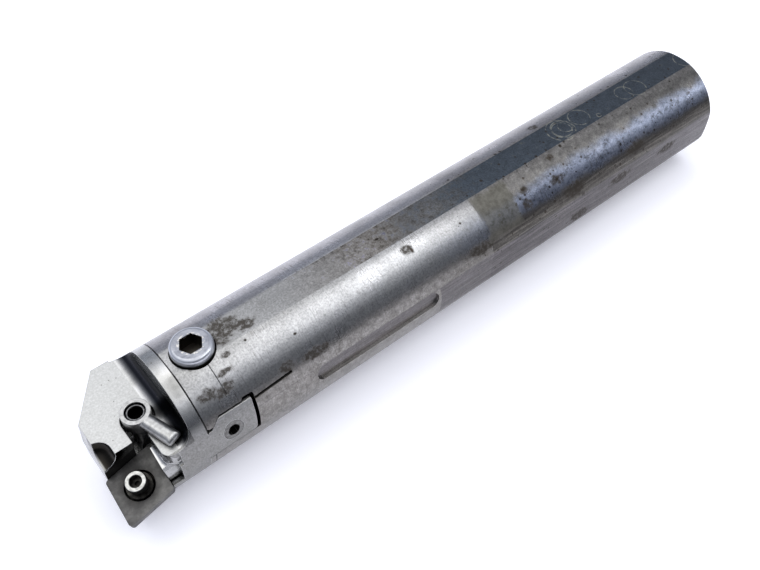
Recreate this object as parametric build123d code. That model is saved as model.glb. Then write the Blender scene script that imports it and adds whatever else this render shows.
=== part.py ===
from build123d import *
from math import cos, radians, sin, sqrt, tan
import os

# Driving dimensions, in millimetres and degrees.
# The bar lies along X with its rear end toward +X and its cutting head toward -X.
# The top flat faces +Z, and the cutting side of the head faces -Y.
# A "station" is a distance from the rear end face toward the head.

# Round bar
BAR_RADIUS = 25.4
GRIP_LENGTH = 170.0
REAR_CHAMFER = 1.0
CENTRE_HOLE_RADIUS = 2.5
CENTRE_HOLE_DEPTH = 9.0
CENTRE_CONE_RADIUS = 5.0
TOP_FLAT_WIDTH = 12.1
BOTTOM_FLAT_WIDTH = 10.0
SIDE_FLAT_WIDTH = 15.0
SIDE_FLAT_LENGTH = 174.5
SIDE_POCKET_START = 175.8
SIDE_POCKET_LENGTH = 60.3
SIDE_POCKET_WIDTH = 7.5
SIDE_POCKET_DEPTH = 1.2
RING_SETBACK = 11.8
RING_GROOVE = 0.2
RING_END_Z = 17.0
GRIP_RING_STATION = 145.0
GRIP_RING_WIDTH = 0.7
GRIP_RING_DEPTH = 0.09

# Hooked joint between the bar's two jaws and the tongue of the head
JOINT_STATION = 281.8
LOWER_NOSE_REACH = 2.2
SLOT_FLOOR_Z = -2.6
SLOT_DEPTH = 19.2
SLOT_WALL_LEAN = 1.2
HOOK_LENGTH = 2.8
HOOK_BOTTOM_Z = 10.7
HOOK_CHAMFER = 0.8
HOOK_FACE_ANGLE = 38.0
JAW_UNDERSIDE_Z = 13.3
RELIEF_LENGTH = 4.0
RELIEF_HEIGHT = 0.8
TONGUE_TOP_GAP = 0.75
TONGUE_NOSE_GAP = 1.1
TONGUE_REAR_GAP = 1.5
TONGUE_BOTTOM_RADIUS = 2.0
SLIT_LENGTH = 16.4
SLIT_WIDTH = 1.1
SLIT_DROP = 2.6
SLIT_RISE = 0.9
SLIT_END_RADIUS = 0.5
JOINT_GROOVE = 0.2

# Cap screw that closes the jaws on the tongue
JAW_SCREW_SETBACK = 10.7
JAW_SCREW_HEAD_RADIUS = 8.0
JAW_SCREW_HEAD_HEIGHT = 10.0
JAW_SCREW_RADIUS = 5.0
JAW_SCREW_LENGTH = 36.0
JAW_SCREW_HEX = 8.0
JAW_SCREW_HEX_DEPTH = 6.0
JAW_SCREW_EDGE_RADIUS = 1.7
JAW_SCREW_END_CHAMFER = 1.0
COUNTERBORE_FLOOR_Z = 18.5
COUNTERBORE_CLEARANCE = 0.5
SHANK_CLEARANCE = 0.5
TONGUE_CLEARANCE = 0.75
THREAD_CLEARANCE = 0.05
THREAD_RUNOUT = 2.0

# Set screw in the side of the tongue
SET_SCREW_SETBACK = 8.9
SET_SCREW_Z = 4.7
SET_SCREW_RADIUS = 4.0
SET_SCREW_LENGTH = 13.0
SET_SCREW_HEX = 4.0
SET_SCREW_HEX_DEPTH = 4.0
SET_SCREW_INSET = 0.05

# Cutting head
COLLAR_LENGTH = 5.2
PLATFORM_Z = 10.0
GULLET_RADIUS = 6.5
GULLET_FLARE = 1.9
HEAD_FLARE = 2.7
HEAD_FLARE_AHEAD = 12.6
HEAD_CORNER_AHEAD = 19.8
HEAD_CORNER_Y = 25.9
HEAD_SHOULDER_AHEAD = 33.0
HEAD_SHOULDER_Y = 8.6
HEAD_FRONT_AHEAD = 33.6
FRONT_REACH = 1.1
FRONT_REACH_Z = 2.5
FRONT_RELIEF_Z = -8.0
FRONT_RELIEF = 1.8

# Insert pocket, which leans down toward the cutting corner, and its shim
SEAT_AHEAD = 27.1
SEAT_INSET = 7.3
SEAT_TOP_Z = -3.5
SEAT_TILT_Y = 10.0
SEAT_TILT_X = 8.5
INSERT_SIDE = 19.3
INSERT_CORNER = 80.0
LEAD_ANGLE = 5.0
SHIM_THICKNESS = 3.2
SHIM_CLEARANCE = 0.08
SHIM_CORNER_RADIUS = 1.3
SHIM_HOLE_RADIUS = 5.6
CORNER_RELIEF_RADIUS = 2.4
POCKET_RIM_HEIGHT = 6.0
SCOOP_RADIUS = 5.5
SCOOP_AHEAD = 34.4
SCOOP_INSET = 18.3
SCOOP_DROP_ANGLE = 12.0
CHANNEL_NEAR_AHEAD = 16.6
CHANNEL_FAR_AHEAD = 22.2
CHANNEL_REACH = 5.5
CHANNEL_FLOOR_Z = -1.6
RELIEF_FILLET = 1.8
LOBE_SETBACK = 1.9
LOBE_INSET = 2.0
LOBE_CORNER_RADIUS = 4.0
LOBE_END_AHEAD = 11.8
NEAR_CUT_FROM_AHEAD = 13.2
NEAR_FACETS = [(4.2, 4.2), (3.0, 2.0), (3.5, 1.4), (2.8, -0.8), (2.9, -4.4), (3.8, -5.4)]

# Lock pin that stands in the shim
PIN_HEIGHT = 6.0
PIN_TOP_RADIUS = 3.8
PIN_TOP_LENGTH = 3.6
PIN_NECK_RADIUS = 3.1
PIN_COLLAR_RADIUS = 4.9
PIN_COLLAR_RISE = 0.4
PIN_STEM_RADIUS = 3.2
PIN_STEM_LENGTH = 8.0
PIN_HEX = 4.0
PIN_HEX_DEPTH = 3.0
PIN_DRILL_RADIUS = 1.0
PIN_DRILL_DEPTH = 1.5
PIN_TOP_CHAMFER = 0.3
PIN_END_CHAMFER = 0.5

# Finger clamp and its screw, swung aside and backed off
CLAMP_AHEAD = 16.0
CLAMP_Y = -2.4
CLAMP_BOSS_RADIUS = 5.4
CLAMP_LIFT = 0.9
CLAMP_THICKNESS = 3.3
CLAMP_HEEL = 2.4
CLAMP_LENGTH = 18.4
CLAMP_WIDTH = 6.0
CLAMP_DIRECTION = -72.0
CLAMP_NOSE_RADIUS = 2.4
CLAMP_NOSE_CORNER = 0.9
CLAMP_UNDER_CHAMFER = 0.8
CLAMP_BORE_RADIUS = 3.85
CLAMP_RECESS_CLEARANCE = 0.8
CLAMP_RECESS_FLOOR_Z = 1.5
CLAMP_SCREW_RADIUS = 3.5
CLAMP_SCREW_LENGTH = 26.0
CLAMP_SCREW_INSET = 0.7
CLAMP_SCREW_HEX = 4.76
CLAMP_SCREW_HEX_DEPTH = 5.0
CLAMP_SCREW_CHAMFER = 0.35
SOCKET_LEAD = 0.12
CONE_TIP_RADIUS = 0.01
GROOVE_OVERRUN = 1.25

# Worked-out places
REAR_X = GRIP_LENGTH / 2
TOP_FLAT_Z = sqrt(BAR_RADIUS**2 - (TOP_FLAT_WIDTH / 2) ** 2)
BOTTOM_FLAT_Z = -sqrt(BAR_RADIUS**2 - (BOTTOM_FLAT_WIDTH / 2) ** 2)
SIDE_FLAT_Y = -sqrt(BAR_RADIUS**2 - (SIDE_FLAT_WIDTH / 2) ** 2)
NEAR_Y = -BAR_RADIUS
SEAT_Y = NEAR_Y + SEAT_INSET
RING_STATION = JOINT_STATION - RING_SETBACK
JAW_SCREW_STATION = JOINT_STATION - JAW_SCREW_SETBACK
SET_SCREW_STATION = JOINT_STATION - SET_SCREW_SETBACK
LOWER_NOSE_STATION = JOINT_STATION + LOWER_NOSE_REACH
CLAMP_STATION = JOINT_STATION + CLAMP_AHEAD
SEAT_STATION = JOINT_STATION + SEAT_AHEAD
HEAD_FRONT_STATION = JOINT_STATION + HEAD_FRONT_AHEAD
CLAMP_BOTTOM_Z = PLATFORM_Z + CLAMP_LIFT
CLAMP_TOP_Z = CLAMP_BOTTOM_Z + CLAMP_THICKNESS
PAST = 3 * BAR_RADIUS


def x_at(station):
    return REAR_X - station


def rod_x(radius, station_from, station_to, y=0.0):
    length = station_to - station_from
    middle = x_at((station_from + station_to) / 2)
    return Pos(middle, y, 0) * Rot(0, 90, 0) * Cylinder(radius, length)


def rod_z(radius, station, y, z_low, z_high):
    return Pos(x_at(station), y, (z_low + z_high) / 2) * Cylinder(radius, z_high - z_low)


def block(station_from, station_to, y_low, y_high, z_low, z_high):
    middle = Pos(x_at((station_from + station_to) / 2), (y_low + y_high) / 2, (z_low + z_high) / 2)
    return middle * Box(station_to - station_from, y_high - y_low, z_high - z_low)


def side_cut(points, rounded=(), radius=0.0):
    """A prism across the whole bar with its outline given as (station, z) corners."""
    corners = [(x_at(station), z) for station, z in points]
    face = make_face(Polyline(*corners, close=True))
    if rounded:
        wanted = [face.vertices().sort_by_distance((x_at(s), z))[0] for s, z in rounded]
        face = fillet(wanted, radius)
    return extrude(Plane.XZ * face, PAST, both=True)


def hexagon_socket(across_flats, depth, drill_radius=0.0, drill_depth=0.0, lead=SOCKET_LEAD):
    """A socket whose mouth is at the local origin and which goes down along -Z."""
    socket = Pos(0, 0, -depth / 2) * extrude(
        RegularPolygon(across_flats / 2, 6, major_radius=False), depth / 2, both=True
    )
    if lead > 0:
        mouth = across_flats / sqrt(3) + lead / 2
        socket += Pos(0, 0, -mouth / 2) * Cone(CONE_TIP_RADIUS, mouth, mouth)
    if drill_radius > 0:
        socket += Pos(0, 0, -depth - drill_depth / 2) * Cylinder(drill_radius, drill_depth)
    return socket


# Hooked joint: the corners of the space that the tongue goes into, and of the tongue itself.
HOOK_HEEL_STATION = JOINT_STATION - HOOK_LENGTH
HOOK_FACE_SLOPE = tan(radians(HOOK_FACE_ANGLE))


def hook_face_station(z):
    """The station of the hook's sloping face at a height."""
    return HOOK_HEEL_STATION - (z - HOOK_BOTTOM_Z) / HOOK_FACE_SLOPE


SLOT_REAR_STATION = JOINT_STATION - SLOT_DEPTH
SLOT_ROOF_Z = JAW_UNDERSIDE_Z + RELIEF_HEIGHT
SLOT_ROOF_STATION = SLOT_REAR_STATION - SLOT_WALL_LEAN
SLOT_OUTLINE = [
    (JOINT_STATION, PAST),
    (JOINT_STATION, HOOK_BOTTOM_Z + HOOK_CHAMFER),
    (JOINT_STATION - HOOK_CHAMFER, HOOK_BOTTOM_Z),
    (HOOK_HEEL_STATION, HOOK_BOTTOM_Z),
    (hook_face_station(JAW_UNDERSIDE_Z), JAW_UNDERSIDE_Z),
    (SLOT_REAR_STATION + RELIEF_LENGTH, JAW_UNDERSIDE_Z),
    (SLOT_REAR_STATION + RELIEF_LENGTH - RELIEF_HEIGHT, SLOT_ROOF_Z),
    (SLOT_ROOF_STATION, SLOT_ROOF_Z),
    (SLOT_REAR_STATION, SLOT_FLOOR_Z),
    (LOWER_NOSE_STATION, SLOT_FLOOR_Z),
    (LOWER_NOSE_STATION, -PAST),
    (LOWER_NOSE_STATION + PAST, -PAST),
    (LOWER_NOSE_STATION + PAST, PAST),
]

TONGUE_TOP_Z = JAW_UNDERSIDE_Z - TONGUE_TOP_GAP
TONGUE_FRONT_Z = HOOK_BOTTOM_Z - TONGUE_NOSE_GAP
TONGUE_HEEL_STATION = SLOT_REAR_STATION + TONGUE_REAR_GAP
TONGUE_CROWN_STATION = TONGUE_HEEL_STATION - SLOT_WALL_LEAN
TONGUE_OUTLINE = [
    (JOINT_STATION, PAST),
    (JOINT_STATION, HOOK_BOTTOM_Z),
    (JOINT_STATION + TONGUE_NOSE_GAP / 2, TONGUE_FRONT_Z),
    (hook_face_station(TONGUE_FRONT_Z), TONGUE_FRONT_Z),
    (hook_face_station(TONGUE_TOP_Z), TONGUE_TOP_Z),
    (TONGUE_CROWN_STATION, TONGUE_TOP_Z),
    (TONGUE_HEEL_STATION, SLOT_FLOOR_Z),
    (LOWER_NOSE_STATION, SLOT_FLOOR_Z),
    (LOWER_NOSE_STATION, -PAST),
    (LOWER_NOSE_STATION + PAST, -PAST),
    (LOWER_NOSE_STATION + PAST, PAST),
]


def ring_groove(station, width, depth):
    """A V-shaped groove all round the bar, as a tool whose mouth lies just outside the surface."""
    bottom = BAR_RADIUS - depth
    half_mouth = width / 2 * GROOVE_OVERRUN
    mouth = bottom + depth * GROOVE_OVERRUN
    corners = [
        (x_at(station) - half_mouth, mouth),
        (x_at(station), bottom),
        (x_at(station) + half_mouth, mouth),
    ]
    return revolve(make_face(Polyline(*corners, close=True)), Axis.X, 360)


def above(z, tool):
    return tool & block(0, 2 * JOINT_STATION, -PAST, PAST, z, PAST)


# A fine chamfer on both sides of the joint leaves the hairline that shows above the hook.
joint_groove = ring_groove(JOINT_STATION, 2 * JOINT_GROOVE, JOINT_GROOVE)
joint_groove = above(HOOK_BOTTOM_Z + HOOK_CHAMFER, joint_groove)

# Bar
bar = rod_x(BAR_RADIUS, 0, LOWER_NOSE_STATION)
rear_edge = bar.faces().sort_by(Axis.X)[-1].edges()
bar = chamfer(rear_edge, REAR_CHAMFER)
bar -= block(-PAST, 2 * LOWER_NOSE_STATION, -PAST, PAST, TOP_FLAT_Z, PAST)
bar -= block(-PAST, 2 * LOWER_NOSE_STATION, -PAST, PAST, -PAST, BOTTOM_FLAT_Z)
bar -= block(-PAST, SIDE_FLAT_LENGTH, -PAST, SIDE_FLAT_Y, -PAST, PAST)
bar -= rod_x(CENTRE_HOLE_RADIUS, 0, CENTRE_HOLE_DEPTH)
bar -= Pos(REAR_X - CENTRE_CONE_RADIUS / 2, 0, 0) * Rot(0, 90, 0) * Cone(
    CONE_TIP_RADIUS, CENTRE_CONE_RADIUS, CENTRE_CONE_RADIUS
)

pocket_middle = x_at(SIDE_POCKET_START + SIDE_POCKET_LENGTH / 2)
pocket_floor_y = -(BAR_RADIUS - SIDE_POCKET_DEPTH)
pocket_outline = SlotOverall(SIDE_POCKET_LENGTH, SIDE_POCKET_WIDTH)
pocket_plane = Plane((pocket_middle, pocket_floor_y, SIDE_POCKET_WIDTH / 2), (1, 0, 0), (0, -1, 0))
bar -= extrude(pocket_plane * pocket_outline, BAR_RADIUS)

bar -= ring_groove(GRIP_RING_STATION, GRIP_RING_WIDTH, GRIP_RING_DEPTH)
bar -= above(RING_END_Z, ring_groove(RING_STATION, 2 * RING_GROOVE, RING_GROOVE))

bar -= side_cut(SLOT_OUTLINE, [(SLOT_ROOF_STATION, SLOT_ROOF_Z)], RELIEF_HEIGHT)
slit_mouth_z = SLOT_ROOF_Z - SLIT_DROP
slit_end_station = SLOT_ROOF_STATION - SLIT_LENGTH
slit_end_z = slit_mouth_z + SLIT_RISE
bar -= side_cut(
    [
        (SLOT_REAR_STATION + SLIT_WIDTH, slit_mouth_z - SLIT_WIDTH / 2),
        (SLOT_REAR_STATION + SLIT_WIDTH, slit_mouth_z + SLIT_WIDTH / 2),
        (slit_end_station, slit_end_z + SLIT_WIDTH / 2),
        (slit_end_station, slit_end_z - SLIT_WIDTH / 2),
    ],
    [(slit_end_station, slit_end_z + SLIT_WIDTH / 2), (slit_end_station, slit_end_z - SLIT_WIDTH / 2)],
    SLIT_END_RADIUS,
)

jaw_screw_bottom_z = COUNTERBORE_FLOOR_Z - JAW_SCREW_LENGTH
counterbore_radius = JAW_SCREW_HEAD_RADIUS + COUNTERBORE_CLEARANCE
bar -= rod_z(counterbore_radius, JAW_SCREW_STATION, 0, COUNTERBORE_FLOOR_Z, PAST)
bar -= rod_z(JAW_SCREW_RADIUS + SHANK_CLEARANCE, JAW_SCREW_STATION, 0, SLOT_FLOOR_Z, COUNTERBORE_FLOOR_Z)
jaw_thread_radius = JAW_SCREW_RADIUS + THREAD_CLEARANCE
bar -= rod_z(jaw_thread_radius, JAW_SCREW_STATION, 0, jaw_screw_bottom_z - THREAD_RUNOUT, SLOT_FLOOR_Z)
bar -= joint_groove

# Jaw clamp screw
jaw_clamp_screw = rod_z(
    JAW_SCREW_HEAD_RADIUS,
    JAW_SCREW_STATION,
    0,
    COUNTERBORE_FLOOR_Z,
    COUNTERBORE_FLOOR_Z + JAW_SCREW_HEAD_HEIGHT,
)
jaw_clamp_screw = fillet(jaw_clamp_screw.faces().sort_by(Axis.Z)[-1].edges(), JAW_SCREW_EDGE_RADIUS)
jaw_shank = rod_z(JAW_SCREW_RADIUS, JAW_SCREW_STATION, 0, jaw_screw_bottom_z, COUNTERBORE_FLOOR_Z)
jaw_shank = chamfer(jaw_shank.faces().sort_by(Axis.Z)[0].edges(), JAW_SCREW_END_CHAMFER)
jaw_clamp_screw += jaw_shank
jaw_screw_top = Pos(x_at(JAW_SCREW_STATION), 0, COUNTERBORE_FLOOR_Z + JAW_SCREW_HEAD_HEIGHT)
jaw_clamp_screw -= jaw_screw_top * hexagon_socket(JAW_SCREW_HEX, JAW_SCREW_HEX_DEPTH, lead=0.0)

# Cutting head: a round collar, a flat platform milled half way down, and a front that tapers in
collar_end = JOINT_STATION + COLLAR_LENGTH
head_end = SEAT_STATION + INSERT_SIDE
head = rod_x(BAR_RADIUS, TONGUE_CROWN_STATION - 1, head_end)
flare_station = JOINT_STATION + HEAD_FLARE_AHEAD
collar_round = Plane((x_at(collar_end), 0, 0), z_dir=(-1, 0, 0)) * Circle(BAR_RADIUS)
flared_round = Plane((x_at(flare_station), GULLET_FLARE, 0), z_dir=(-1, 0, 0)) * Circle(BAR_RADIUS)
head += loft([collar_round, flared_round], ruled=True)
head += rod_x(BAR_RADIUS, flare_station, head_end, HEAD_FLARE)
head &= side_cut(
    TONGUE_OUTLINE,
    [(TONGUE_HEEL_STATION, SLOT_FLOOR_Z)],
    TONGUE_BOTTOM_RADIUS,
)
head -= block(0, 2 * head_end, -PAST, PAST, -PAST, BOTTOM_FLAT_Z)

gullet_corner = (collar_end, PLATFORM_Z)
head -= side_cut(
    [gullet_corner, (collar_end, PAST), (head_end + 1, PAST), (head_end + 1, PLATFORM_Z)],
    [gullet_corner],
    GULLET_RADIUS,
)

# The front seen from above: far corner, then a slanted shoulder that runs out at the front face.
head_corner_x = x_at(JOINT_STATION + HEAD_CORNER_AHEAD)
shoulder_slope = (HEAD_CORNER_Y - HEAD_SHOULDER_Y) / (HEAD_SHOULDER_AHEAD - HEAD_CORNER_AHEAD)
front_station = HEAD_FRONT_STATION + FRONT_REACH
shoulder_end_y = HEAD_SHOULDER_Y - (front_station - JOINT_STATION - HEAD_SHOULDER_AHEAD) * shoulder_slope
front_outline = [
    (x_at(0), PAST),
    (head_corner_x, PAST),
    (head_corner_x, HEAD_CORNER_Y),
    (x_at(front_station), shoulder_end_y),
    (x_at(front_station), -PAST),
    (x_at(0), -PAST),
]
head &= extrude(make_face(Polyline(*front_outline, close=True)), PAST, both=True)
head &= side_cut(
    [
        (0, -PAST),
        (0, PAST),
        (HEAD_FRONT_STATION, PAST),
        (HEAD_FRONT_STATION, PLATFORM_Z),
        (front_station, FRONT_REACH_Z),
        (front_station, FRONT_RELIEF_Z),
        (front_station - FRONT_RELIEF, BOTTOM_FLAT_Z),
        (front_station - FRONT_RELIEF, -PAST),
    ]
)

# Insert pocket. The seat frame has its origin at the middle of the shim's top face, z along the
# normal, and x close to the bar's own X. Two walls meet at the pocket's inner corner.
seat_point = Vector(x_at(SEAT_STATION), SEAT_Y, SEAT_TOP_Z)
seat_normal = Vector(-tan(radians(SEAT_TILT_X)), -tan(radians(SEAT_TILT_Y)), 1).normalized()
seat_x = Vector(1, 0, tan(radians(SEAT_TILT_X))).normalized()
SEAT = Plane(seat_point, seat_x, seat_normal).location
SEAT_AXIS = Axis(seat_point, seat_normal)

half_corner = radians(INSERT_CORNER / 2)
diagonal = radians(LEAD_ANGLE + INSERT_CORNER / 2)
long_way = Vector(cos(diagonal), sin(diagonal))
short_way = Vector(-sin(diagonal), cos(diagonal))


def rhombus(side):
    """Corners of the insert's outline on the seat: inner, front, tip and near corner."""
    long_half = long_way * side * cos(half_corner)
    short_half = short_way * side * sin(half_corner)
    return [long_half, short_half, long_half * -1, short_half * -1]


inner_corner, front_corner, tip_corner, near_corner = rhombus(INSERT_SIDE)
to_front = (front_corner - inner_corner).normalized()
to_near = (near_corner - inner_corner).normalized()


def seat_prism(points, low, high):
    """A prism on the seat, from one height above the shim's top face to another."""
    face = make_face(Polyline(*[(point.X, point.Y) for point in points], close=True))
    return SEAT * Pos(0, 0, low) * extrude(face, high - low)


def seat_rod(radius, point, low, high):
    return SEAT * Pos(point.X, point.Y, (low + high) / 2) * Cylinder(radius, high - low)


def above_rim(tool):
    """A vertical tool cut off at the level of the pocket's rim."""
    reach = [Vector(-PAST, -PAST), Vector(PAST, -PAST), Vector(PAST, PAST), Vector(-PAST, PAST)]
    return tool & seat_prism(reach, POCKET_RIM_HEIGHT, 2 * PAST)


pocket_corners = [
    inner_corner,
    inner_corner + to_front * PAST,
    inner_corner + (to_front + to_near) * PAST,
    inner_corner + to_near * PAST,
]
head -= seat_prism(pocket_corners, -SHIM_THICKNESS, PAST)
head -= seat_rod(CORNER_RELIEF_RADIUS, inner_corner, -SHIM_THICKNESS, PAST)

# Round-bottomed chip scoop that runs down to the front wall of the pocket
scoop_end = Pos(x_at(JOINT_STATION + SCOOP_AHEAD), NEAR_Y + SCOOP_INSET, PLATFORM_Z)
scoop_run = Rot(90 + SCOOP_DROP_ANGLE, 0, 0) * Pos(0, 0, BAR_RADIUS / 2)
scoop = scoop_end * Sphere(SCOOP_RADIUS)
scoop += scoop_end * scoop_run * Cylinder(SCOOP_RADIUS, BAR_RADIUS)
head -= scoop

# Chip relief beside the near wall of the pocket, which leaves a round-cornered lobe of platform
wall_x = x_at(SEAT_STATION) + near_corner.X
lobe_x = wall_x + LOBE_SETBACK
relief_top_y = SEAT_Y + inner_corner.Y - CORNER_RELIEF_RADIUS
lobe_y = NEAR_Y + LOBE_INSET
lobe_corner = (lobe_x, lobe_y)
lobe_end_x = x_at(JOINT_STATION + LOBE_END_AHEAD)
relief_corners = [
    (wall_x - PAST, relief_top_y),
    (lobe_x, relief_top_y),
    lobe_corner,
    (lobe_end_x, lobe_y),
    (lobe_end_x, -PAST),
    (wall_x - PAST, -PAST),
]
relief_face = make_face(Polyline(*relief_corners, close=True))
relief_face = fillet(relief_face.vertices().sort_by_distance(lobe_corner)[0], LOBE_CORNER_RADIUS)
relief = above_rim(extrude(relief_face, PAST, both=True))
lobe_foot = (lobe_x, lobe_y, SEAT_TOP_Z + POCKET_RIM_HEIGHT)
relief_floor = relief.faces().sort_by(SEAT_AXIS)[0]
relief = fillet(relief_floor.edges().sort_by_distance(lobe_foot)[:3], RELIEF_FILLET)
head -= relief

# Facets that step down the near side below the lobe, with a small notch at the foot of the pocket
facet_corners = [(NEAR_Y + inset, z) for inset, z in NEAR_FACETS]
facet_corners += [(-PAST, NEAR_FACETS[-1][1]), (-PAST, NEAR_FACETS[0][1])]
facets = extrude(Plane.YZ * make_face(Polyline(*facet_corners, close=True)), PAST)
near_cut_x = x_at(JOINT_STATION + NEAR_CUT_FROM_AHEAD)
head -= Pos(near_cut_x - PAST, 0, 0) * facets

# Deep channel between the clamp's recess and the inner corner of the pocket
head -= block(
    JOINT_STATION + CHANNEL_NEAR_AHEAD,
    JOINT_STATION + CHANNEL_FAR_AHEAD,
    SEAT_Y + CHANNEL_REACH,
    CLAMP_Y,
    CHANNEL_FLOOR_Z,
    PAST,
)

# Round recess that lets the clamp's heel sink in, and the clamp screw's hole
recess_radius = CLAMP_BOSS_RADIUS + CLAMP_RECESS_CLEARANCE
head -= rod_z(recess_radius, CLAMP_STATION, CLAMP_Y, CLAMP_RECESS_FLOOR_Z, PAST)
clamp_screw_top_z = CLAMP_TOP_Z - CLAMP_SCREW_INSET
clamp_screw_bottom_z = clamp_screw_top_z - CLAMP_SCREW_LENGTH
clamp_hole_radius = CLAMP_SCREW_RADIUS + THREAD_CLEARANCE
clamp_hole_bottom_z = clamp_screw_bottom_z - THREAD_RUNOUT
head -= rod_z(clamp_hole_radius, CLAMP_STATION, CLAMP_Y, clamp_hole_bottom_z, PAST)

# Lock pin's hole, the jaw screw's way through the tongue, and the set screw's hole
stem_bottom = -SHIM_THICKNESS - PIN_STEM_LENGTH
head -= seat_rod(PIN_STEM_RADIUS + THREAD_CLEARANCE, Vector(0, 0), stem_bottom - 1, 0)
tongue_hole_radius = JAW_SCREW_RADIUS + TONGUE_CLEARANCE
head -= rod_z(tongue_hole_radius, JAW_SCREW_STATION, 0, SLOT_FLOOR_Z - 1, JAW_UNDERSIDE_Z + 1)


def set_screw_rod(radius, y_from, y_to):
    middle = Pos(x_at(SET_SCREW_STATION), (y_from + y_to) / 2, SET_SCREW_Z)
    return middle * Rot(90, 0, 0) * Cylinder(radius, y_to - y_from)


set_screw_face_y = NEAR_Y
set_screw_end_y = set_screw_face_y + SET_SCREW_LENGTH
head -= set_screw_rod(SET_SCREW_RADIUS + THREAD_CLEARANCE, -PAST, set_screw_end_y + 1)
head -= joint_groove

tongue_set_screw = set_screw_rod(SET_SCREW_RADIUS, set_screw_face_y, set_screw_end_y)
tongue_set_screw &= rod_x(BAR_RADIUS - SET_SCREW_INSET, 0, JOINT_STATION)
set_screw_mouth = Pos(x_at(SET_SCREW_STATION), set_screw_face_y, SET_SCREW_Z) * Rot(90, 0, 0)
tongue_set_screw -= set_screw_mouth * hexagon_socket(SET_SCREW_HEX, SET_SCREW_HEX_DEPTH)

# Shim
shim_side = INSERT_SIDE - 2 * SHIM_CLEARANCE
shim = seat_prism(rhombus(shim_side), -SHIM_THICKNESS, 0)
upright = [e for e in shim.edges() if abs(e.length - SHIM_THICKNESS) < SHIM_THICKNESS / 100]
shim = fillet(upright, SHIM_CORNER_RADIUS)
shim -= seat_rod(SHIM_HOLE_RADIUS, Vector(0, 0), -SHIM_THICKNESS, 0)

# Lock pin: a threaded stem, a collar inside the shim, a neck and a round head with a socket
pin_profile = [
    (0, stem_bottom),
    (PIN_STEM_RADIUS - PIN_END_CHAMFER, stem_bottom),
    (PIN_STEM_RADIUS, stem_bottom + PIN_END_CHAMFER),
    (PIN_STEM_RADIUS, -SHIM_THICKNESS),
    (PIN_COLLAR_RADIUS, -SHIM_THICKNESS),
    (PIN_COLLAR_RADIUS, PIN_COLLAR_RISE / 2),
    (PIN_COLLAR_RADIUS - PIN_COLLAR_RISE / 2, PIN_COLLAR_RISE),
    (PIN_NECK_RADIUS, PIN_COLLAR_RISE),
    (PIN_NECK_RADIUS, PIN_HEIGHT - PIN_TOP_LENGTH - (PIN_TOP_RADIUS - PIN_NECK_RADIUS)),
    (PIN_TOP_RADIUS, PIN_HEIGHT - PIN_TOP_LENGTH),
    (PIN_TOP_RADIUS, PIN_HEIGHT - PIN_TOP_CHAMFER),
    (PIN_TOP_RADIUS - PIN_TOP_CHAMFER, PIN_HEIGHT),
    (0, PIN_HEIGHT),
]
pin_face = make_face(Plane.XZ * Polyline(*pin_profile, close=True))
lock_pin = SEAT * (
    revolve(pin_face, Axis.Z, 360)
    - Pos(0, 0, PIN_HEIGHT)
    * hexagon_socket(PIN_HEX, PIN_HEX_DEPTH, PIN_DRILL_RADIUS, PIN_DRILL_DEPTH)
)

# Finger clamp: modelled with its boss on the local origin and its arm along +X, then swung
arm = Pos(CLAMP_LENGTH / 2, 0, (CLAMP_BOTTOM_Z + CLAMP_TOP_Z) / 2) * Box(
    CLAMP_LENGTH, CLAMP_WIDTH, CLAMP_THICKNESS
)
nose_edges = arm.edges().filter_by(Axis.Z).group_by(Axis.X)[-1]
arm = fillet(nose_edges, CLAMP_NOSE_CORNER)
nose_top = arm.faces().sort_by(Axis.Z)[-1].edges().group_by(Axis.X)[-1]
arm = fillet(nose_top, CLAMP_NOSE_RADIUS)
arm = chamfer(arm.faces().sort_by(Axis.Z)[0].edges(), CLAMP_UNDER_CHAMFER)
boss_height = CLAMP_THICKNESS + CLAMP_HEEL
finger_clamp = arm + Pos(0, 0, CLAMP_TOP_Z - boss_height / 2) * Cylinder(CLAMP_BOSS_RADIUS, boss_height)
finger_clamp -= Pos(0, 0, CLAMP_TOP_Z) * Cylinder(CLAMP_BORE_RADIUS, 4 * boss_height)
clamp_swing = Pos(x_at(CLAMP_STATION), CLAMP_Y, 0) * Rot(0, 0, CLAMP_DIRECTION)
finger_clamp = clamp_swing * finger_clamp

clamp_screw = rod_z(CLAMP_SCREW_RADIUS, CLAMP_STATION, CLAMP_Y, clamp_screw_bottom_z, clamp_screw_top_z)
clamp_screw = chamfer(clamp_screw.edges().filter_by(GeomType.CIRCLE), CLAMP_SCREW_CHAMFER)
clamp_screw_mouth = Pos(x_at(CLAMP_STATION), CLAMP_Y, clamp_screw_top_z)
clamp_screw -= clamp_screw_mouth * hexagon_socket(CLAMP_SCREW_HEX, CLAMP_SCREW_HEX_DEPTH)

nodes = {
    "bar": bar,
    "cutting_head": head,
    "jaw_clamp_screw": jaw_clamp_screw,
    "tongue_set_screw": tongue_set_screw,
    "shim": shim,
    "lock_pin": lock_pin,
    "finger_clamp": finger_clamp,
    "clamp_screw": clamp_screw,
}
os.makedirs("parts", exist_ok=True)
for name, solid in nodes.items():
    export_step(solid, f"parts/{name}.step")
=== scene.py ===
import math

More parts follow.
